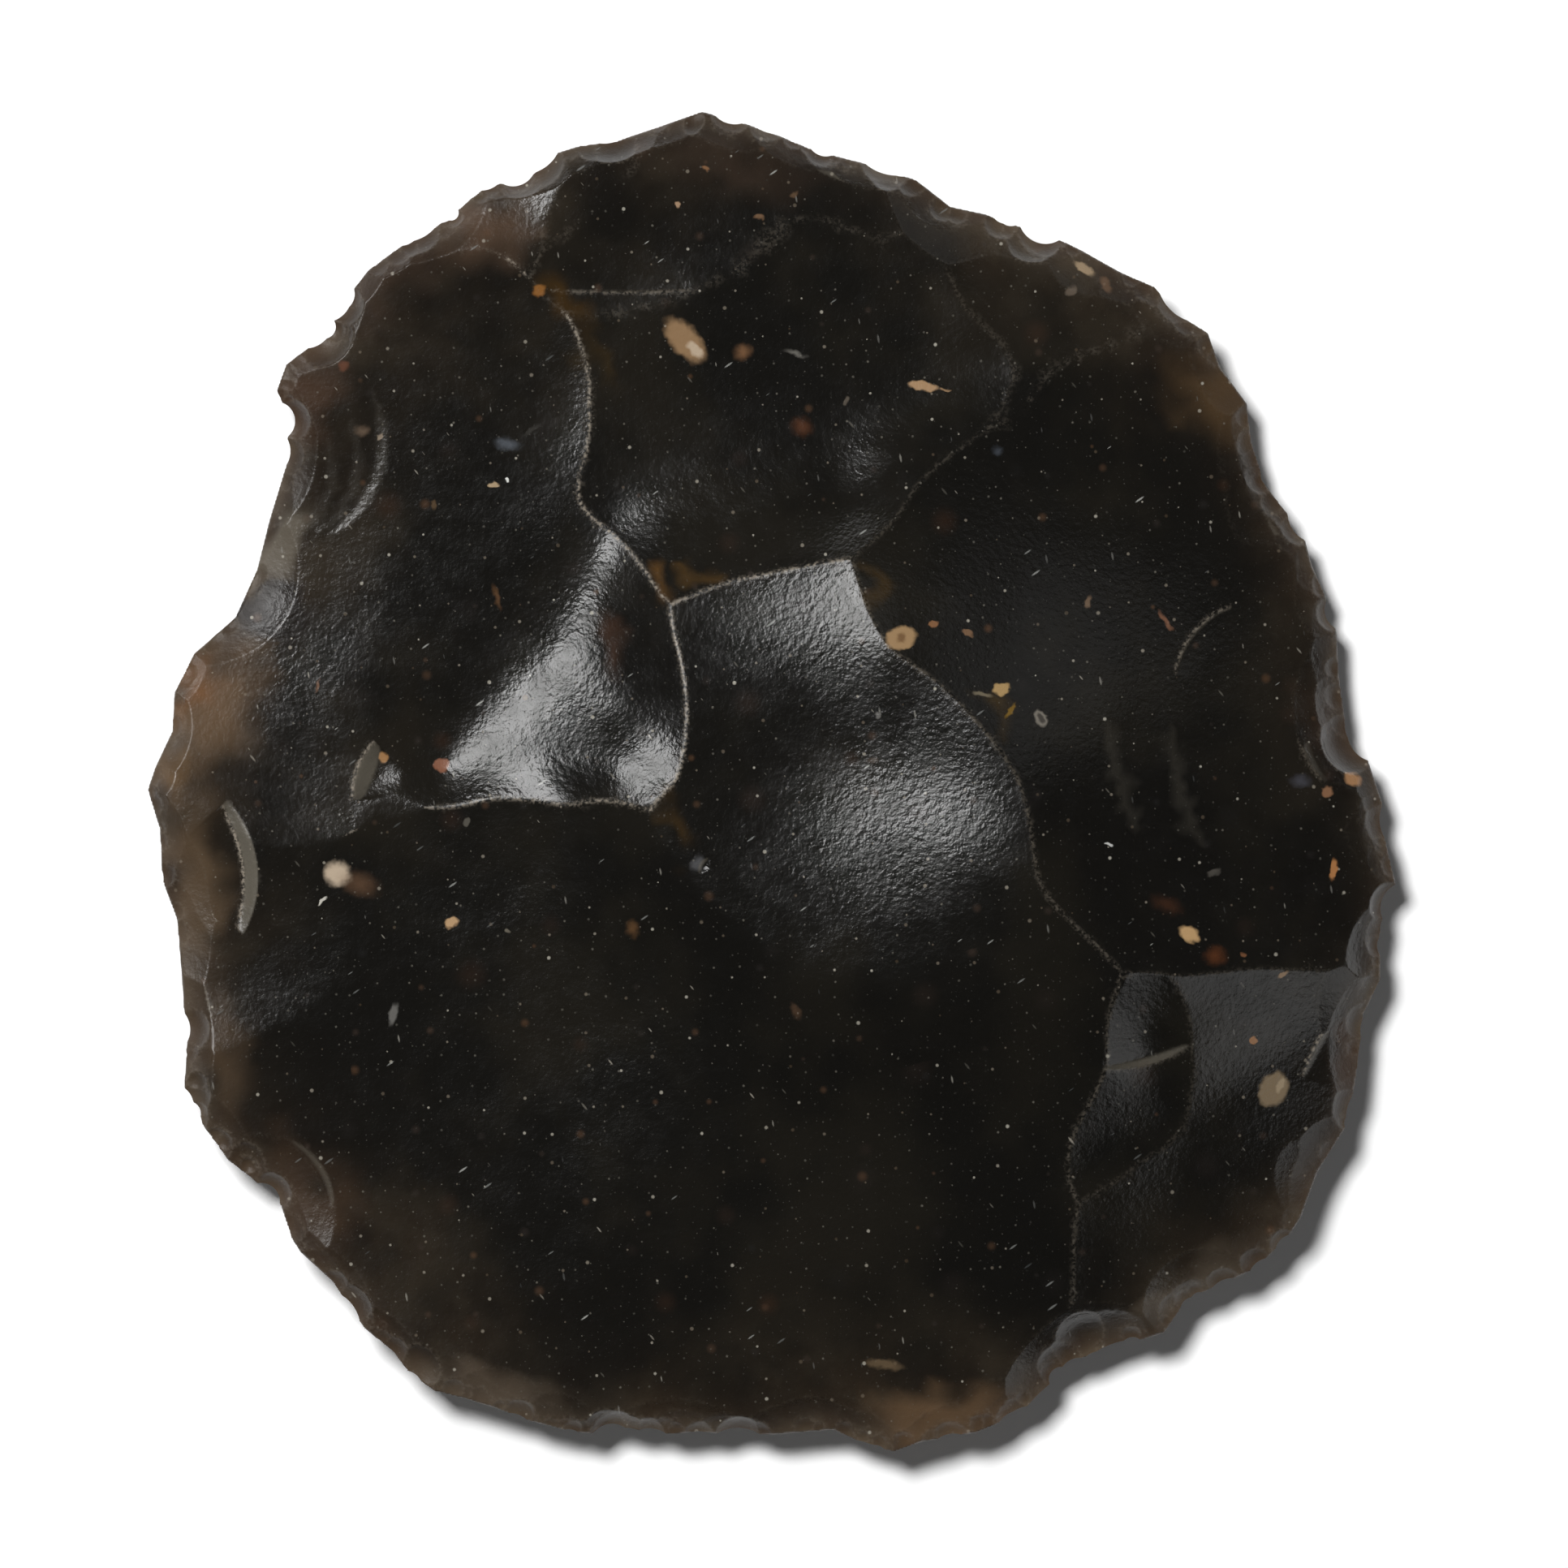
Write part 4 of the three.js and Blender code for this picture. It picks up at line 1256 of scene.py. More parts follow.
    def corners(self, side: Side) -> tuple[np.ndarray, np.ndarray]:
        """Corners of the triangles over one face, turned so that they face outwards.

        Args:
            side: Face of the stone.

        Returns:
            Pairs of grid numbers by triangle and corner, and the normals there.
        """
        relief = self.relief
        x, y = (axis.ravel() for axis in relief.grid.coordinates())
        pairs = self.clip(self.faces(side))
        inner, outer = pairs[..., 0], pairs[..., 1]
        # Corners halfway to their outer points, because two on the rim may share the inner one
        half = np.stack([(x[inner] + x[outer]) / 2, (y[inner] + y[outer]) / 2], axis=2)
        cross = np.cross(half[:, 1] - half[:, 0], half[:, 2] - half[:, 0])
        turned = (cross < 0) == (side is Side.UPPER)
        pairs[turned] = pairs[turned][:, ::-1]
        surface = relief.upper if side is Side.UPPER else relief.lower
        across, along = (slope.ravel() for slope in relief.grid.slopes(surface))
        inner = pairs[..., 0]
        up = np.stack([-across[inner], -along[inner], np.ones(inner.shape)], axis=2)
        up /= np.linalg.norm(up, axis=2, keepdims=True)
        return pairs, up if side is Side.UPPER else -up

    def fit(self, points: np.ndarray) -> np.ndarray:
        """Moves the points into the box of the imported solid.

        Args:
            points: Places in millimetres, on the outline's own places.

        Returns:
            Places in millimetres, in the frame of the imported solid.
        """
        points[:, :2] += packed_shift(self.relief.outline)
        low, high = (np.array(corner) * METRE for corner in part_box(STONE_NODE))
        points[:, 2] *= high[2] / points[:, 2].max()
        return np.clip(points, low, high)

    def build(self, name: str) -> bpy.types.Mesh:
        """Joins both faces along the rim into one closed mesh in metres.

        Args:
            name: Name of the mesh.

        Returns:
            The mesh, with its normals and the attributes that its finish reads.
        """
        relief = self.relief
        count = (relief.grid.cells + 1) ** 2
        x, y = (axis.ravel() for axis in relief.grid.coordinates())
        upper, lower = relief.upper.ravel(), relief.lower.ravel()
        thickness = relief.thickness.ravel()
        codes, normals = [], []
        for side in Side:
            pairs, normal = self.corners(side)
            code = pairs[..., 0] * count + pairs[..., 1]
            code[(pairs[..., 0] == pairs[..., 1]) & (side is Side.LOWER)] += count * count
            codes.append(code)
            normals.append(normal)
        code, corner = np.unique(np.concatenate(codes), return_inverse=True)
        below = code >= count * count
        plain = np.where(below, code - count * count, code)
        inner, outer = plain // count, plain % count
        rim = inner != outer
        reach = thickness[inner] - np.where(rim, thickness[outer], 0)
        share = np.where(rim, np.clip(thickness[inner] / reach, *self.rim_share), 0)
        z = np.where(below | rim, lower[inner], upper[inner])
        z = z + share * (lower[outer] - lower[inner])
        points = self.fit(np.stack([x[inner] + share * (x[outer] - x[inner]),
                                    y[inner] + share * (y[outer] - y[inner]), z], axis=1))
        mesh = bpy.data.meshes.new(name)
        mesh.from_pydata((points / METRE).tolist(), [], corner.reshape(-1, 3).tolist())
        mesh.shade_smooth()
        mesh.normals_split_custom_set(np.concatenate(normals).reshape(-1, 3).tolist())
        # The frosting mask also carries painted light, and the arris mask a highlight painted
        # along the ridges
        masks = {"thickness": np.where(rim, 0, thickness[inner]),
                 "arris": relief.arris.ravel()[inner],
                 "frost_and_painted_light": np.where(below, 0, relief.frost_and_painted_light.ravel()[inner])}
        for label, values in masks.items():
            attribute = mesh.attributes.new(label, "FLOAT", "POINT")
            attribute.data.foreach_set("value", values.astype(np.float32))
        cloud = np.column_stack([relief.tint.reshape(-1, 3)[inner], relief.cloud.ravel()[inner]])
        attribute = mesh.attributes.new("cloud", "FLOAT_COLOR", "POINT")
        attribute.data.foreach_set("color", cloud.astype(np.float32).ravel())
        return mesh


class Wiring:
    """Adds nodes to one shader tree and joins them."""

    def __init__(self, tree: bpy.types.NodeTree) -> None:
        """Takes the tree and empties it.

        Args:
            tree: Tree of a material, a world or a group.
        """
        self.tree = tree
        tree.nodes.clear()

    def add(self, kind: str, inputs: dict[Any, Any] | None = None,
            **settings: Any) -> bpy.types.Node:
        """Adds one node.

        Args:
            kind: Type name of the node.
            inputs: Value of each input, or the output that feeds it, by name or number.
            settings: Properties of the node.

        Returns:
            The new node.
        """
        node = self.tree.nodes.new(kind)
        for name, value in settings.items():
            setattr(node, name, value)
        for key, value in (inputs or {}).items():
            if isinstance(value, bpy.types.NodeSocket):
                self.tree.links.new(value, node.inputs[key])
            else:
                node.inputs[key].default_value = value
        return node

    def maths(self, operation: str, *values: Any) -> bpy.types.NodeSocket:
        """Works out one sum on numbers that vary over the surface.

        Args:
            operation: Name of the sum.
            values: Numbers, or outputs that give them.

        Returns:
            Output with the result.
        """
        node = self.add("ShaderNodeMath", dict(enumerate(values)), operation=operation)
        return node.outputs[0]

    def vector(self, operation: str, *values: Any, output: int = 0) -> bpy.types.NodeSocket:
        """Works out one sum on vectors.

        Args:
            operation: Name of the sum.
            values: Vectors, or outputs that give them.
            output: Number of the output, 1 where the result is one number.

        Returns:
            Output with the result.
        """
        node = self.add("ShaderNodeVectorMath", dict(enumerate(values)), operation=operation)
        return node.outputs[output]

    def mix(self, factor: Any, first: Any, second: Any) -> bpy.types.NodeSocket:
        """Mixes two colours.

        Args:
            factor: Share of the second colour.
            first: First colour.
            second: Second colour.

        Returns:
            Output with the mixed colour.
        """
        node = self.add("ShaderNodeMix", {0: factor, 6: first, 7: second}, data_type="RGBA",
                        clamp_result=True)
        return node.outputs[2]

    def ramp(self, value: Any, low: float, high: float, start: float = 0.0,
             end: float = 1.0) -> bpy.types.NodeSocket:
        """Runs smoothly from one number to another while a value rises.

        Args:
            value: Output with the value.
            low: Value at which the run starts.
            high: Value at which it ends.
            start: Number at its start.
            end: Number at its end.

        Returns:
            Output with the number.
        """
        node = self.add("ShaderNodeMapRange", {0: value, 1: low, 2: high, 3: start, 4: end},
                        interpolation_type="SMOOTHSTEP")
        return node.outputs[0]

    def noise(self, place: Any, scale: float, detail: float = 2.0,
              rough: float = 0.5) -> bpy.types.Node:
        """Adds a noise texture in millimetres of the stone.

        Args:
            place: Output with the place.
            scale: Number of bumps to a millimetre.
            detail: Number of finer noises on top.
            rough: Strength of each finer noise.

        Returns:
            The new node.
        """
        return self.add("ShaderNodeTexNoise", {"Vector": place, "Scale": scale,
                                               "Detail": detail, "Roughness": rough})

    def attribute(self, name: str) -> Any:
        """Reads an attribute of the mesh.

        Args:
            name: Name of the attribute.

        Returns:
            Outputs of the node, by name.
        """
        return self.add("ShaderNodeAttribute", attribute_name=name).outputs


SOCKETS = {"colour": "NodeSocketColor", "vector": "NodeSocketVector", "number": "NodeSocketFloat"}


def colour_group(name: str, inputs: dict[str, str]) -> Wiring:
    """Starts a shader group that puts out a colour.

    Args:
        name: Name of the group.
        inputs: Kind of each input by its label.

    Returns:
        Wiring of the new group.
    """
    tree = bpy.data.node_groups.new(name, "ShaderNodeTree")
    for label, kind in inputs.items():
        tree.interface.new_socket(name=label, in_out="INPUT", socket_type=SOCKETS[kind])
    tree.interface.new_socket(name="Colour", in_out="OUTPUT", socket_type=SOCKETS["colour"])
    return Wiring(tree)


# Colours of more than one inclusion
CREAM = (158, 128, 96)
PALE = (150, 146, 138)
WHITE = (214, 214, 208)

# Grains that show one by one, from the top of the stone round to its lower edge
INCLUSIONS = (
    Inclusion((-3.6, 18.2), (1.15, 0.6), (140, 112, 82), turn=-48, blur=0.35),
    Inclusion((-3.2, 17.8), (0.45, 0.25), (176, 158, 136), turn=-50, blur=0.5),
    Inclusion((-1.23, 17.7), (0.45, 0.4), (120, 88, 62), blur=1.0, strength=0.75),
    Inclusion((0.95, 17.65), (0.55, 0.14), PALE, turn=-15, blur=1.0, strength=0.4),
    Inclusion((1.2, 14.65), (0.55, 0.5), (84, 52, 34), blur=1.0, strength=0.7),
    Inclusion((6.2, 16.3), (0.62, 0.2), CREAM, turn=-8),
    Inclusion((7.1, 16.15), (0.3, 0.08), CREAM, blur=0.5, strength=0.6),
    Inclusion((5.27, 5.95), (0.66, 0.5), (150, 122, 88), turn=20, blur=0.2),
    Inclusion((5.27, 5.95), (0.28, 0.2), (104, 78, 52), turn=20, blur=0.7),
    Inclusion((6.6, 6.5), (0.2, 0.16), (124, 88, 60)),
    Inclusion((8.0, 6.15), (0.3, 0.15), (110, 84, 62), turn=-30, blur=0.4),
    Inclusion((9.4, 3.85), (0.36, 0.25), (160, 132, 88), turn=10, blur=0.25),
    Inclusion((8.6, 3.65), (0.45, 0.12), (122, 112, 92), turn=-10, blur=0.6, strength=0.6),
    Inclusion((9.75, 2.95), (0.45, 0.11), (120, 92, 30), turn=55, blur=0.5, strength=0.7),
    Inclusion((11.0, 2.65), (0.27, 0.36), (128, 122, 112), turn=10, strength=0.7),
    Inclusion((11.0, 2.65), (0.15, 0.22), (40, 36, 32), turn=10, blur=0.4, strength=0.8),
    Inclusion((-17.9, -3.75), (0.62, 0.55), (186, 168, 146), turn=-20, blur=0.5),
    Inclusion((-17.0, -4.15), (1.0, 0.6), (96, 72, 54), turn=-15, blur=1.0, strength=0.6),
    Inclusion((-18.5, -4.85), (0.27, 0.08), (190, 186, 176), turn=42, blur=0.4),
    Inclusion((-13.2, -5.75), (0.35, 0.24), (176, 144, 108), turn=25),
    Inclusion((-16.0, 1.05), (0.2, 0.22), (150, 112, 74), blur=0.4),
    Inclusion((-13.63, 0.72), (0.33, 0.3), (124, 82, 62), blur=0.25),
    Inclusion((-10.9, 13.95), (0.62, 0.32), (78, 82, 88), turn=-8, blur=0.8, strength=0.8),
    Inclusion((-9.9, 14.5), (0.6, 0.15), (64, 62, 58), turn=35, blur=1.0, strength=0.5),
    Inclusion((-16.9, 14.5), (0.4, 0.3), (96, 80, 66), blur=1.0, strength=0.8),
    Inclusion((-16.15, 14.25), (0.15, 0.14), (128, 114, 98), blur=0.5),
    Inclusion((-11.5, 12.25), (0.24, 0.11), (164, 142, 112), turn=10, blur=0.4),
    Inclusion((-10.9, 12.45), (0.1, 0.09), WHITE),
    Inclusion((-13.95, 11.4), (0.14, 0.22), (88, 70, 50), blur=0.6, strength=0.7),
    Inclusion((-17.65, 17.15), (0.28, 0.24), (96, 62, 46), blur=0.7, strength=0.8),
    Inclusion((-11.35, 7.65), (0.6, 0.16), (92, 66, 44), turn=105, blur=0.8, strength=0.7),
    Inclusion((-18.75, 4.0), (0.32, 0.09), (110, 78, 58), turn=70, blur=0.7, strength=0.7),
    Inclusion((-3.9, 23.8), (0.15, 0.14), (158, 130, 104), blur=0.4),
    Inclusion((-2.75, 25.25), (0.16, 0.1), (120, 88, 62), turn=-20, blur=0.5),
    Inclusion((-0.55, 23.25), (0.26, 0.12), (110, 84, 62), turn=-5, blur=0.5, strength=0.8),
    Inclusion((0.9, 24.2), (0.2, 0.12), (92, 72, 54), turn=30, blur=0.6, strength=0.7),
    Inclusion((-9.6, 20.25), (0.36, 0.26), (132, 88, 44), turn=30, blur=0.5, strength=0.85),
    Inclusion((-5.75, -6.0), (0.35, 0.42), (88, 64, 42), blur=0.9, strength=0.8),
    Inclusion((-15.6, -9.5), (0.5, 0.2), (104, 102, 98), turn=75, blur=0.5, strength=0.8),
    Inclusion((17.1, -6.2), (0.52, 0.3), (186, 152, 108), turn=-25, blur=0.35),
    Inclusion((18.2, -7.1), (0.6, 0.5), (92, 54, 32), blur=1.0, strength=0.7),
    Inclusion((16.2, -5.0), (0.9, 0.45), (70, 44, 30), turn=-20, blur=1.0, strength=0.55),
    Inclusion((19.3, -7.05), (0.18, 0.12), (112, 76, 52), turn=20, blur=0.5),
    Inclusion((20.95, -7.85), (0.3, 0.13), (132, 108, 82), turn=35, blur=0.4, strength=0.85),
    Inclusion((23.05, -3.6), (0.48, 0.16), (168, 116, 72), turn=80, blur=0.35),
    Inclusion((23.9, 0.15), (0.42, 0.3), (160, 120, 84), turn=-20, blur=0.4, strength=0.85),
    Inclusion((22.8, -0.35), (0.27, 0.22), (136, 100, 74), turn=10, blur=0.4, strength=0.8),
    Inclusion((21.7, 0.05), (0.56, 0.35), (66, 66, 72), blur=0.9, strength=0.8),
    Inclusion((16.15, 6.65), (0.55, 0.12), (120, 84, 64), turn=-55, blur=0.6, strength=0.7),
    Inclusion((12.95, 7.45), (0.3, 0.14), (112, 92, 74), turn=80, blur=0.5, strength=0.7),
    Inclusion((13.75, -2.5), (0.2, 0.06), (190, 190, 186), blur=0.4),
    Inclusion((18.1, -3.7), (0.32, 0.16), (84, 80, 74), turn=25, blur=0.6, strength=0.7),
    Inclusion((20.6, -12.6), (0.75, 0.6), (122, 106, 84), turn=60, blur=0.2),
    Inclusion((20.9, -12.4), (0.4, 0.18), (150, 134, 110), turn=65, blur=0.4, strength=0.8),
    Inclusion((19.77, -10.6), (0.17, 0.2), (140, 100, 66)),
    Inclusion((12.85, 21.15), (0.5, 0.18), (150, 130, 104), turn=-32, blur=0.4, strength=0.85),
    Inclusion((13.7, 20.5), (0.45, 0.2), (96, 74, 56), turn=-60, blur=0.6, strength=0.7),
    Inclusion((12.3, 20.25), (0.34, 0.2), (104, 92, 80), turn=30, blur=0.5, strength=0.6),
    Inclusion((9.25, 13.65), (0.3, 0.26), (60, 64, 70), blur=0.9, strength=0.8),
    Inclusion((3.0, 15.7), (0.22, 0.12), (92, 84, 74), turn=80, blur=0.5, strength=0.7),
    Inclusion((4.33, 2.75), (0.14, 0.16), (104, 102, 98), blur=0.5, strength=0.7),
    Inclusion((4.1, 0.9), (0.3, 0.2), (60, 48, 38), blur=0.8, strength=0.7),
    Inclusion((-12.6, -1.6), (0.16, 0.2), (92, 88, 80), blur=0.4, strength=0.7),
    Inclusion((0.95, -9.35), (0.2, 0.42), (76, 58, 44), turn=20, blur=0.8, strength=0.7),
    Inclusion((-3.1, -3.3), (0.3, 0.42), (88, 88, 90), turn=-20, blur=0.7, strength=0.6),
    Inclusion((-10.9, -6.1), (0.12, 0.1), (110, 104, 92), blur=0.5, strength=0.7),
    Inclusion((4.55, -23.9), (0.9, 0.22), (98, 82, 62), turn=-8, blur=0.6, strength=0.75),
)


@dataclass(frozen=True)
class Specks:
    """Even scatter of fine grains through the flint.

    Attributes:
        spacing: Usual distance between two grains, in millimetres.
        radius: Radius of the largest grain.
        share: Share of the places that hold a grain.
        blur: Share of the radius over which a grain fades.
        strength: How much of the dark stone a grain hides.
        colours: Two screen colours that the grains lie between.
        stretch: Length of a grain against its width, along each axis.
        turn: Turn of the stretched axis in degrees.
    """

    spacing: float
    radius: float
    share: float
    blur: float
    strength: float
    colours: tuple[tuple[int, int, int], tuple[int, int, int]]
    stretch: tuple[float, float, float] = (1.0, 1.0, 1.0)
    turn: float = 0.0


SPECKS = (
    Specks(0.3, 0.035, 0.5, 0.7, 0.35, ((60, 60, 58), (96, 94, 88))),
    Specks(0.62, 0.06, 0.6, 0.7, 0.5, ((70, 70, 66), (120, 116, 106))),
    Specks(1.4, 0.09, 0.5, 0.5, 0.75, ((104, 86, 66), (168, 164, 152))),
    Specks(2.3, 0.24, 0.4, 0.9, 0.4, ((52, 54, 56), (92, 66, 46))),
    Specks(3.9, 0.7, 0.5, 1.0, 0.2, ((46, 48, 50), (70, 46, 32))),
    Specks(1.1, 0.05, 0.24, 0.5, 0.7, ((110, 114, 114), (170, 170, 164)), (5, 1, 1), 35),
    Specks(1.2, 0.05, 0.24, 0.5, 0.6, ((100, 98, 90), (160, 154, 142)), (4, 1, 1), -50),
    Specks(1.3, 0.05, 0.24, 0.5, 0.6, ((96, 98, 100), (146, 142, 132)), (4, 1, 1), 100),
)


@dataclass(frozen=True)
class FlintFinish:
    """Dark, waxy flint: glossy over fine grain, and smoky brown where it is thin.

    Attributes:
        core: Screen colour of the flint where it is thick.
        mottle: Screen colour of its paler parts there.
        core_scale: Number of paler parts to a millimetre.
        core_share: Noise at which a paler part starts and at which it is full.
        smoke: Screen colour where the flint is thin.
        haze: Screen colour of its paler parts there.
        haze_scale: Number of those paler parts to a millimetre.
        haze_share: Noise at which one starts and at which it is full.
        clear_depth: Thickness over which the dark of the core takes over.
        depth_share: Noise between which the clearness changes.
        depth_factor: Factors on the thickness at those two noises.
        frosted_and_lit: Screen colour of the walls of broken steps: frosting, with painted light.
        frost_and_light_share: How much of the stone that frosting and painted light hides.
        crushed_and_highlit: Screen colour of crushing on the ridges, with a painted highlight.
        crumb_scale: Number of crumbs to a millimetre along a ridge's crushing and painted
            highlight.
        crumb_share: Noise at which a crumb starts and at which it is full.
        speck_shift: Shift from one kind of speck to the next, so that their cells don't match.
        speck_sizes: Range of the sizes of specks, and the least size.
        speck_strengths: Range of the strengths of specks, and the least strength.
        speck_edge: Share of the blur that lies outside a speck's radius.
        ragged: How far the edges of inclusions wander.
        ragged_scale: Number of bays to a millimetre in those edges.
        least_depth: Least half height of an inclusion.
        gloss: Least and greatest roughness of the clean surface.
        gloss_scale: Number of duller parts to a millimetre.
        gloss_share: Noise between which the roughness changes.
        worn_rough: How much rougher the frosting and the crushing on ridges are.
        thin_rough: How much rougher the thin edge is.
        thin_depth: Thicknesses between which that roughness goes.
        refraction: Index of refraction.
        grain_length: Distance from one bump of the grain to the next.
        grain_height: Height of the grain, in metres.
    """

    core: tuple[int, int, int] = (19, 18, 16)
    mottle: tuple[int, int, int] = (26, 24, 20)
    core_scale: float = 0.16
    core_share: tuple[float, float] = (0.4, 0.65)
    smoke: tuple[int, int, int] = (66, 52, 39)
    haze: tuple[int, int, int] = (80, 68, 54)
    haze_scale: float = 0.42
    haze_share: tuple[float, float] = (0.42, 0.62)
    clear_depth: float = 0.7
    depth_share: tuple[float, float] = (0.3, 0.7)
    depth_factor: tuple[float, float] = (1.5, 0.7)
    frosted_and_lit: tuple[int, int, int] = (118, 112, 100)
    frost_and_light_share: float = 0.8
    crushed_and_highlit: tuple[int, int, int] = (150, 140, 126)
    crumb_scale: float = 7.0
    crumb_share: tuple[float, float] = (0.4, 0.62)
    speck_shift: float = 7.3
    speck_sizes: tuple[float, float] = (0.65, 0.35)
    speck_strengths: tuple[float, float] = (0.75, 0.25)
    speck_edge: float = 0.3
    ragged: float = 0.35
    ragged_scale: float = 2.6
    least_depth: float = 0.8
    gloss: tuple[float, float] = (0.17, 0.25)
    gloss_scale: float = 1.1
    gloss_share: tuple[float, float] = (0.3, 0.7)
    worn_rough: float = 0.2
    thin_rough: float = 0.25
    thin_depth: tuple[float, float] = (0.2, 1.4)
    refraction: float = 1.54
    grain_length: float = 0.25
    grain_height: float = 0.000022

    def speck_group(self) -> bpy.types.NodeTree:
        """Shader group that scatters grains over a colour.

        Returns:
            The group, with the colour under the grains as its input.
        """
        wiring = colour_group("FlintSpecks", {
            "Colour": "colour", "Place": "vector", "Density": "number", "Radius": "number",
            "Soft Radius": "number", "Share": "number", "Strength": "number",
            "First": "colour", "Second": "colour"})
        source = wiring.add("NodeGroupInput").outputs
        cells = wiring.add("ShaderNodeTexVoronoi", {
            "Vector": source["Place"], "Scale": source["Density"]}, voronoi_dimensions="2D")
        draw = wiring.add("ShaderNodeSeparateColor", {0: cells.outputs["Color"]}).outputs
        size = wiring.maths("MULTIPLY_ADD", draw[1], *self.speck_sizes)
        distance = wiring.maths("DIVIDE", cells.outputs["Distance"], size)
        grain = wiring.ramp(distance, source["Radius"], source["Soft Radius"], 1.0, 0.0)
        chosen = wiring.maths("LESS_THAN", draw[0], source["Share"])
        faint = wiring.maths("MULTIPLY_ADD", draw[2], *self.speck_strengths)
        mask = wiring.maths("MULTIPLY", wiring.maths("MULTIPLY", grain, chosen),
                            wiring.maths("MULTIPLY", faint, source["Strength"]))
        tint = wiring.mix(draw[2], source["First"], source["Second"])
        wiring.add("NodeGroupOutput", {0: wiring.mix(mask, source["Colour"], tint)})
        return wiring.tree

    def inclusion_group(self) -> bpy.types.NodeTree:
        """Shader group that lays one inclusion over a colour.

        Returns:
            The group, with the colour under the inclusion as its input.
        """
        wiring = colour_group("FlintInclusion", {
            "Under": "colour", "Place": "vector", "Middle": "vector", "Turn": "vector",
            "Size": "vector", "Core": "number", "Strength": "number", "Tint": "colour"})
        source = wiring.add("NodeGroupInput").outputs
        own = wiring.add("ShaderNodeMapping", {
            "Vector": source["Place"], "Location": source["Middle"],
            "Rotation": source["Turn"], "Scale": source["Size"]}, vector_type="TEXTURE")
        away = wiring.vector("LENGTH", own.outputs[0], output=1)
        body = wiring.ramp(away, source["Core"], Inclusion.outer, source["Strength"], 0.0)
        wiring.add("NodeGroupOutput", {0: wiring.mix(body, source["Under"], source["Tint"])})
        return wiring.tree

    def body_colour(self, wiring: Wiring, place: Any, thickness: Any) -> bpy.types.NodeSocket:
        """Colour of clear flint, dark in the middle and smoky where it is thin.

        Args:
            wiring: Wiring of the material.
            place: Output with the place in millimetres.
            thickness: Output with the thickness.

        Returns:
            Output with the colour.
        """
        broad = wiring.noise(place, self.core_scale, detail=3, rough=0.55).outputs[0]
        cloudy = wiring.noise(place, self.haze_scale, detail=4, rough=0.6).outputs[0]
        core = wiring.mix(wiring.ramp(broad, *self.core_share),
                          linear(*self.core), linear(*self.mottle))
        thin = wiring.mix(wiring.ramp(cloudy, *self.haze_share),
                          linear(*self.smoke), linear(*self.haze))
        uneven = wiring.maths("MULTIPLY", thickness,
                              wiring.ramp(broad, *self.depth_share, *self.depth_factor))
        fade = wiring.maths("EXPONENT", wiring.maths("MULTIPLY", uneven, -1 / self.clear_depth))
        return wiring.mix(fade, core, thin)

    def scatter(self, wiring: Wiring, place: Any, colour: Any) -> bpy.types.NodeSocket:
        """Scatters all kinds of specks over a colour.

        Args:
            wiring: Wiring of the material.
            place: Output with the place in millimetres.
            colour: Output with the colour under the specks.

        Returns:
            Output with the colour.
        """
        group = self.speck_group()
        for number, kind in enumerate(SPECKS):
            own = wiring.add("ShaderNodeMapping", {
                "Vector": place, "Location": (self.speck_shift * number, 0, 0),
                "Rotation": (0, 0, math.radians(kind.turn)),
                "Scale": kind.stretch}, vector_type="TEXTURE")
            density = 1 / kind.spacing
            colour = wiring.add("ShaderNodeGroup", {
                "Colour": colour, "Place": own.outputs[0], "Density": density,
                "Radius": kind.radius * density * (1 - kind.blur),
                "Soft Radius": kind.radius * density * (1 + kind.blur * self.speck_edge),
                "Share": kind.share, "Strength": kind.strength,
                "First": linear(*kind.colours[0]),
                "Second": linear(*kind.colours[1])}, node_tree=group).outputs[0]
        return colour

    def include(self, wiring: Wiring, place: Any, colour: Any,
                heights: dict[Inclusion, float]) -> bpy.types.NodeSocket:
        """Lays the inclusions over a colour.

        Args:
            wiring: Wiring of the material.
            place: Output with the place in millimetres.
            colour: Output with the colour under the inclusions.
            heights: Height of the upper face at each inclusion.

        Returns:
            Output with the colour.
        """
        uneven = wiring.noise(place, self.ragged_scale).outputs["Color"]
        push = wiring.vector("MULTIPLY_ADD", uneven, (self.ragged,) * 3, (-self.ragged / 2,) * 3)
        ragged = wiring.vector("ADD", place, push)
        group = self.inclusion_group()
        for item, height in heights.items():
            colour = wiring.add("ShaderNodeGroup", {
                "Under": colour, "Place": ragged, "Middle": (*item.place, height),
                "Turn": (0, 0, math.radians(item.turn)),
                "Size": (*item.size, max(item.size[0], self.least_depth)),
                "Core": 1 - item.blur, "Strength": item.strength,
                "Tint": linear(*item.colour)}, node_tree=group).outputs[0]
        return colour

    def material(self, heights: dict[Inclusion, float], shift: np.ndarray) -> bpy.types.Material:
        """Material of the stone.

        Args:
            heights: Height of the upper face at each inclusion.
            shift: Move from the outline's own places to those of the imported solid.

        Returns:
            The material.
        """
        material = bpy.data.materials.new("waxy_flint")
        material.use_nodes = True
        wiring = Wiring(material.node_tree)
        metres = wiring.add("ShaderNodeTexCoord").outputs["Object"]
        place = wiring.add("ShaderNodeMapping", {
            "Vector": metres, "Location": (-shift[0], -shift[1], 0),
            "Scale": (METRE, METRE, METRE)}).outputs[0]
        thickness, arris, frost_and_painted_light = (wiring.attribute(name)["Fac"]
                                   for name in ("thickness", "arris", "frost_and_painted_light"))
        cloud = wiring.attribute("cloud")
        colour = self.body_colour(wiring, place, thickness)
        colour = wiring.mix(cloud["Alpha"], colour, cloud["Color"])
        colour = self.scatter(wiring, place, colour)
        colour = self.include(wiring, place, colour, heights)
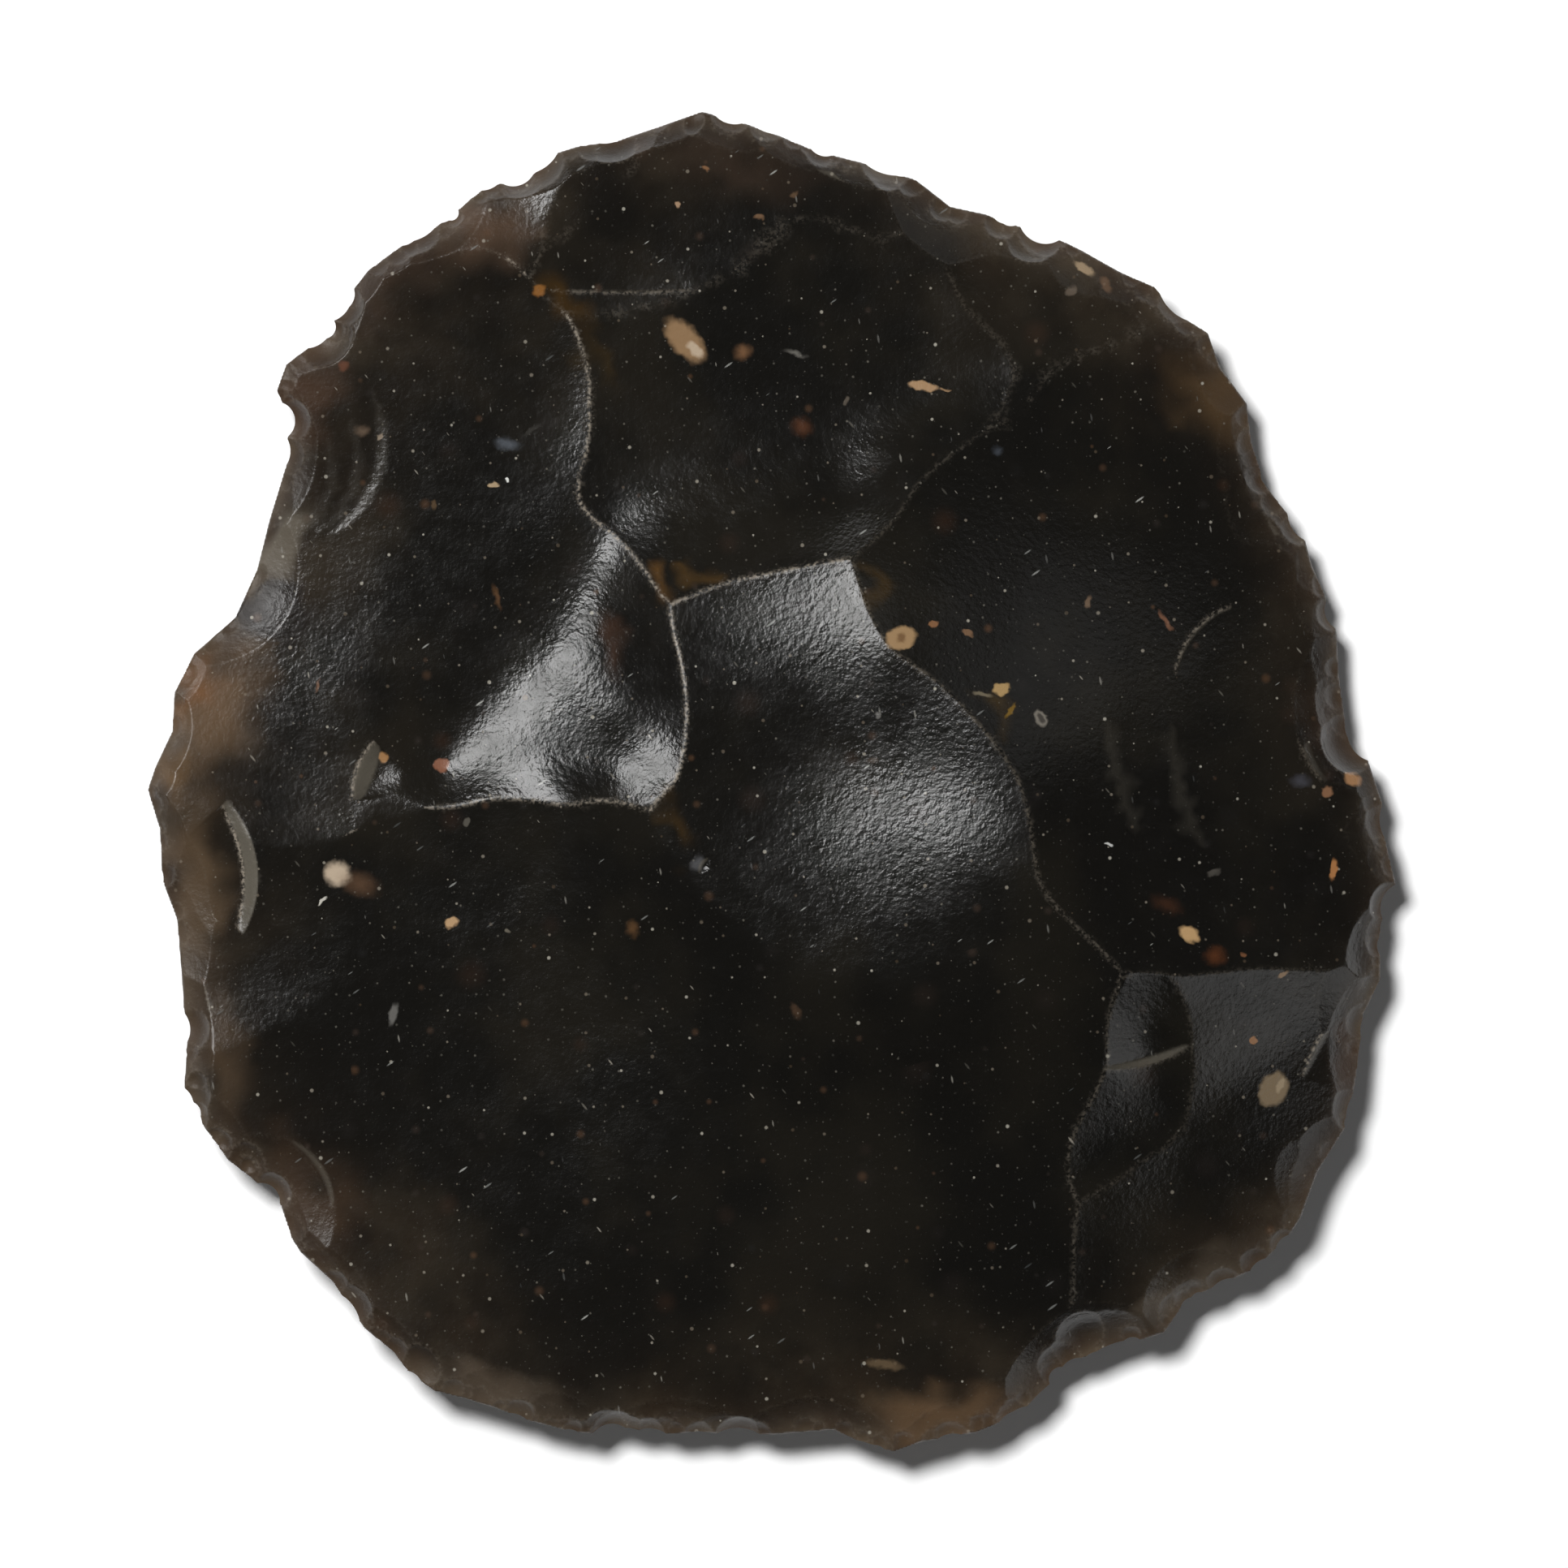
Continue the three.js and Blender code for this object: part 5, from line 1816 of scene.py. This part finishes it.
        # Frosting, with painted light, on the walls of broken steps
        frost_and_light_amount = wiring.maths("MULTIPLY", frost_and_painted_light, self.frost_and_light_share)
        colour = wiring.mix(frost_and_light_amount, colour, linear(*self.frosted_and_lit))
        # Crushing on the ridges, with a highlight painted along them
        crumbs = wiring.noise(place, self.crumb_scale, detail=3, rough=0.6).outputs[0]
        worn_and_highlit = wiring.maths("MULTIPLY", arris, wiring.ramp(crumbs, *self.crumb_share))
        colour = wiring.mix(worn_and_highlit, colour, linear(*self.crushed_and_highlit))
        broad = wiring.noise(place, self.gloss_scale).outputs[0]
        rough = wiring.maths("MULTIPLY", wiring.maths("MAXIMUM", arris, frost_and_painted_light), self.worn_rough)
        rough = wiring.maths("ADD", wiring.ramp(broad, *self.gloss_share, *self.gloss), rough)
        thin = wiring.ramp(thickness, *self.thin_depth, self.thin_rough, 0.0)
        grain = wiring.noise(place, 1 / self.grain_length, rough=0.6).outputs[0]
        bump = wiring.add("ShaderNodeBump", {"Height": grain, "Distance": self.grain_height,
                                             "Strength": 1.0})
        shader = wiring.add("ShaderNodeBsdfPrincipled", {
            "Base Color": colour, "Roughness": wiring.maths("ADD", rough, thin),
            "IOR": self.refraction, "Normal": bump.outputs[0]})
        wiring.add("ShaderNodeOutputMaterial", {"Surface": shader.outputs[0]})
        return material


@dataclass
class FlintScraper:
    """The stone itself.

    Attributes:
        grid: Points that its faces are worked out at.
        finish: Look of its surface.
    """

    grid: Grid = field(default_factory=Grid)
    finish: FlintFinish = field(default_factory=FlintFinish)

    def build(self) -> bpy.types.Object:
        """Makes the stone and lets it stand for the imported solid.

        Returns:
            The new object.
        """
        relief = Relief(self.grid)
        mesh = Skin(relief).build("flint")
        piece = bpy.data.objects.new("flint_scraper", mesh)
        bpy.context.scene.collection.objects.link(piece)
        heights = {item: relief.height_at(relief.upper, *item.place) for item in INCLUSIONS}
        shift = packed_shift(relief.outline)
        mesh.materials.append(self.finish.material(heights, shift))
        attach(piece, "root")
        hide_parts(STONE_NODE)
        return piece


@dataclass(frozen=True)
class Lamp:
    """Square soft lamp that looks at the stone.

    Attributes:
        name: Name of the lamp.
        tilt: Angle off the vertical in degrees.
        direction: Direction in degrees, anticlockwise from +X.
        distance: Distance from the stone in metres.
        size: Width of the lamp in metres.
        power: Power in watts.
        light: Whether it lights matt surfaces.
        sheen: Whether it shows as sheen.
    """

    name: str
    tilt: float
    direction: float
    distance: float
    size: float
    power: float
    light: bool = True
    sheen: bool = True

    def hang(self) -> None:
        """Hangs the lamp over the stone."""
        data = bpy.data.lights.new(self.name, "AREA")
        data.shape = "SQUARE"
        data.size = self.size
        data.energy = self.power
        lamp = bpy.data.objects.new(self.name, data)
        lamp.visible_diffuse = self.light
        lamp.visible_glossy = self.sheen
        across, turn = math.radians(self.tilt), math.radians(self.direction)
        place = Vector((math.sin(across) * math.cos(turn), math.sin(across) * math.sin(turn),
                        math.cos(across)))
        lamp.location = place * self.distance
        lamp.rotation_mode = "QUATERNION"
        lamp.rotation_quaternion = place.to_track_quat("Z", "Y")
        bpy.context.scene.collection.objects.link(lamp)


@dataclass(frozen=True)
class Card:
    """White card in the room, which only shows as a soft reflection.

    Attributes:
        towards: Direction of the card from the stone.
        outer: Angle from its middle at which it ends, in degrees.
        inner: Angle from its middle up to which it is full.
        strength: Light of the card.
    """

    towards: tuple[float, float, float]
    outer: float
    inner: float
    strength: float


@dataclass(frozen=True)
class Studio:
    """White table, a soft lamp and its sheen at the upper left, and the camera straight above.

    Attributes:
        frame_width: Width of the photographed frame at the stone, in millimetres.
        frame_middle: Middle of the frame on the outline's own places.
        focus_height: Height at which the frame has that width, in millimetres.
        lens: Focal length of the camera, in millimetres.
        sensor: Width of its sensor, in millimetres.
        clip: Nearest and farthest distance that it sees, in metres.
        lamps: Lamps over the stone.
        table_half: Half the width of the table, in metres.
        table_colour: How much light the table gives back.
        table_lift: Light of its own that it shows to the camera.
        horizon: Light of the room at table height.
        horizon_height: Height up to which it reaches, as a share of straight up.
        room: Light of the room above.
        matt_room: Light of the room on matt surfaces.
        cards: White cards in the room.
    """

    frame_width: float = 64.4
    frame_middle: tuple[float, float] = (0.47, -0.05)
    focus_height: float = 5.0
    lens: float = 600.0
    sensor: float = 36.0
    clip: tuple[float, float] = (0.01, 10.0)
    lamps: tuple[Lamp, ...] = (
        Lamp("key", tilt=23, direction=130, distance=0.9, size=0.2, power=9.4, sheen=False),
        Lamp("sheen", tilt=40, direction=149, distance=0.9, size=0.3, power=2.8, light=False),
    )
    table_half: float = 1.5
    table_colour: float = 0.95
    table_lift: float = 0.05
    horizon: float = 0.08
    horizon_height: float = 0.25
    room: float = 0.01
    matt_room: float = 0.03
    cards: tuple[Card, ...] = (
        Card((0.78, -0.44, 0.30), outer=24.0, inner=2.0, strength=0.9),
        Card((0.50, 0.73, 0.46), outer=22.0, inner=6.0, strength=0.25),
    )

    def camera(self, shift: np.ndarray) -> None:
        """Sets the camera over the middle of the photographed frame.

        Args:
            shift: Move from the outline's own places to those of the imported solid.
        """
        data = bpy.data.cameras.new("camera")
        data.lens = self.lens
        data.sensor_width = self.sensor
        data.clip_start, data.clip_end = self.clip
        distance = self.lens * self.frame_width / self.sensor
        camera = bpy.data.objects.new("camera", data)
        x, y = np.array(self.frame_middle) + shift
        camera.location = (x / METRE, y / METRE, (distance + self.focus_height) / METRE)
        bpy.context.scene.collection.objects.link(camera)
        bpy.context.scene.camera = camera

    def table(self) -> None:
        """Lays the white table under the stone."""
        mesh = bpy.data.meshes.new("table")
        half = self.table_half
        corners = [(-half, -half, 0), (half, -half, 0), (half, half, 0), (-half, half, 0)]
        mesh.from_pydata(corners, [], [(0, 1, 2, 3)])
        material = bpy.data.materials.new("white_table")
        material.use_nodes = True
        wiring = Wiring(material.node_tree)
        seen = wiring.add("ShaderNodeLightPath").outputs["Is Camera Ray"]
        white = (self.table_colour, self.table_colour, self.table_colour, 1)
        matt = wiring.add("ShaderNodeBsdfDiffuse", {"Color": white})
        strength = wiring.maths("MULTIPLY", seen, self.table_lift)
        lift = wiring.add("ShaderNodeEmission", {"Color": white, "Strength": strength})
        both = wiring.add("ShaderNodeAddShader", {0: matt.outputs[0], 1: lift.outputs[0]})
        wiring.add("ShaderNodeOutputMaterial", {"Surface": both.outputs[0]})
        mesh.materials.append(material)
        floor = bpy.data.objects.new("table", mesh)
        bpy.context.scene.collection.objects.link(floor)

    def surroundings(self) -> None:
        """Dark room with a pale horizon and white cards."""
        world = bpy.data.worlds.new("room")
        world.use_nodes = True
        bpy.context.scene.world = world
        wiring = Wiring(world.node_tree)
        direction = wiring.add("ShaderNodeTexCoord").outputs["Generated"]
        height = wiring.add("ShaderNodeSeparateXYZ", {0: direction}).outputs[2]
        light = wiring.ramp(height, 0.0, self.horizon_height, self.horizon, self.room)
        for card in self.cards:
            middle = tuple(Vector(card.towards).normalized())
            near = wiring.vector("DOT_PRODUCT", direction, middle, output=1)
            outer, inner = (math.cos(math.radians(angle)) for angle in (card.outer, card.inner))
            light = wiring.maths("ADD", light, wiring.ramp(near, outer, inner, 0.0, card.strength))
        rays = wiring.add("ShaderNodeLightPath").outputs
        seen = wiring.maths("MAXIMUM", rays["Is Glossy Ray"], rays["Is Transmission Ray"])
        seen = wiring.maths("MAXIMUM", rays["Is Camera Ray"], seen)
        white = (1, 1, 1, 1)
        dim = wiring.add("ShaderNodeBackground", {"Color": white, "Strength": self.matt_room})
        bright = wiring.add("ShaderNodeBackground", {"Color": white, "Strength": light})
        both = wiring.add("ShaderNodeMixShader", {0: seen, 1: dim.outputs[0],
                                                  2: bright.outputs[0]})
        wiring.add("ShaderNodeOutputWorld", {"Surface": both.outputs[0]})

    def build(self, shift: np.ndarray) -> None:
        """Sets up camera, lamps, table and room.

        Args:
            shift: Move from the outline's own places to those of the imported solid.
        """
        self.camera(shift)
        for lamp in self.lamps:
            lamp.hang()
        self.table()
        self.surroundings()
        bpy.context.scene.view_settings.view_transform = "Standard"


def main() -> None:
    """Builds the stone and its studio."""
    logging.basicConfig(level=logging.INFO, format="%(name)s: %(message)s")
    scraper = FlintScraper()
    piece = scraper.build()
    LOG.info("%s: %d faces", piece.name, len(piece.data.polygons))
    Studio().build(packed_shift(Outline()))


if __name__ == "__main__":
    main()
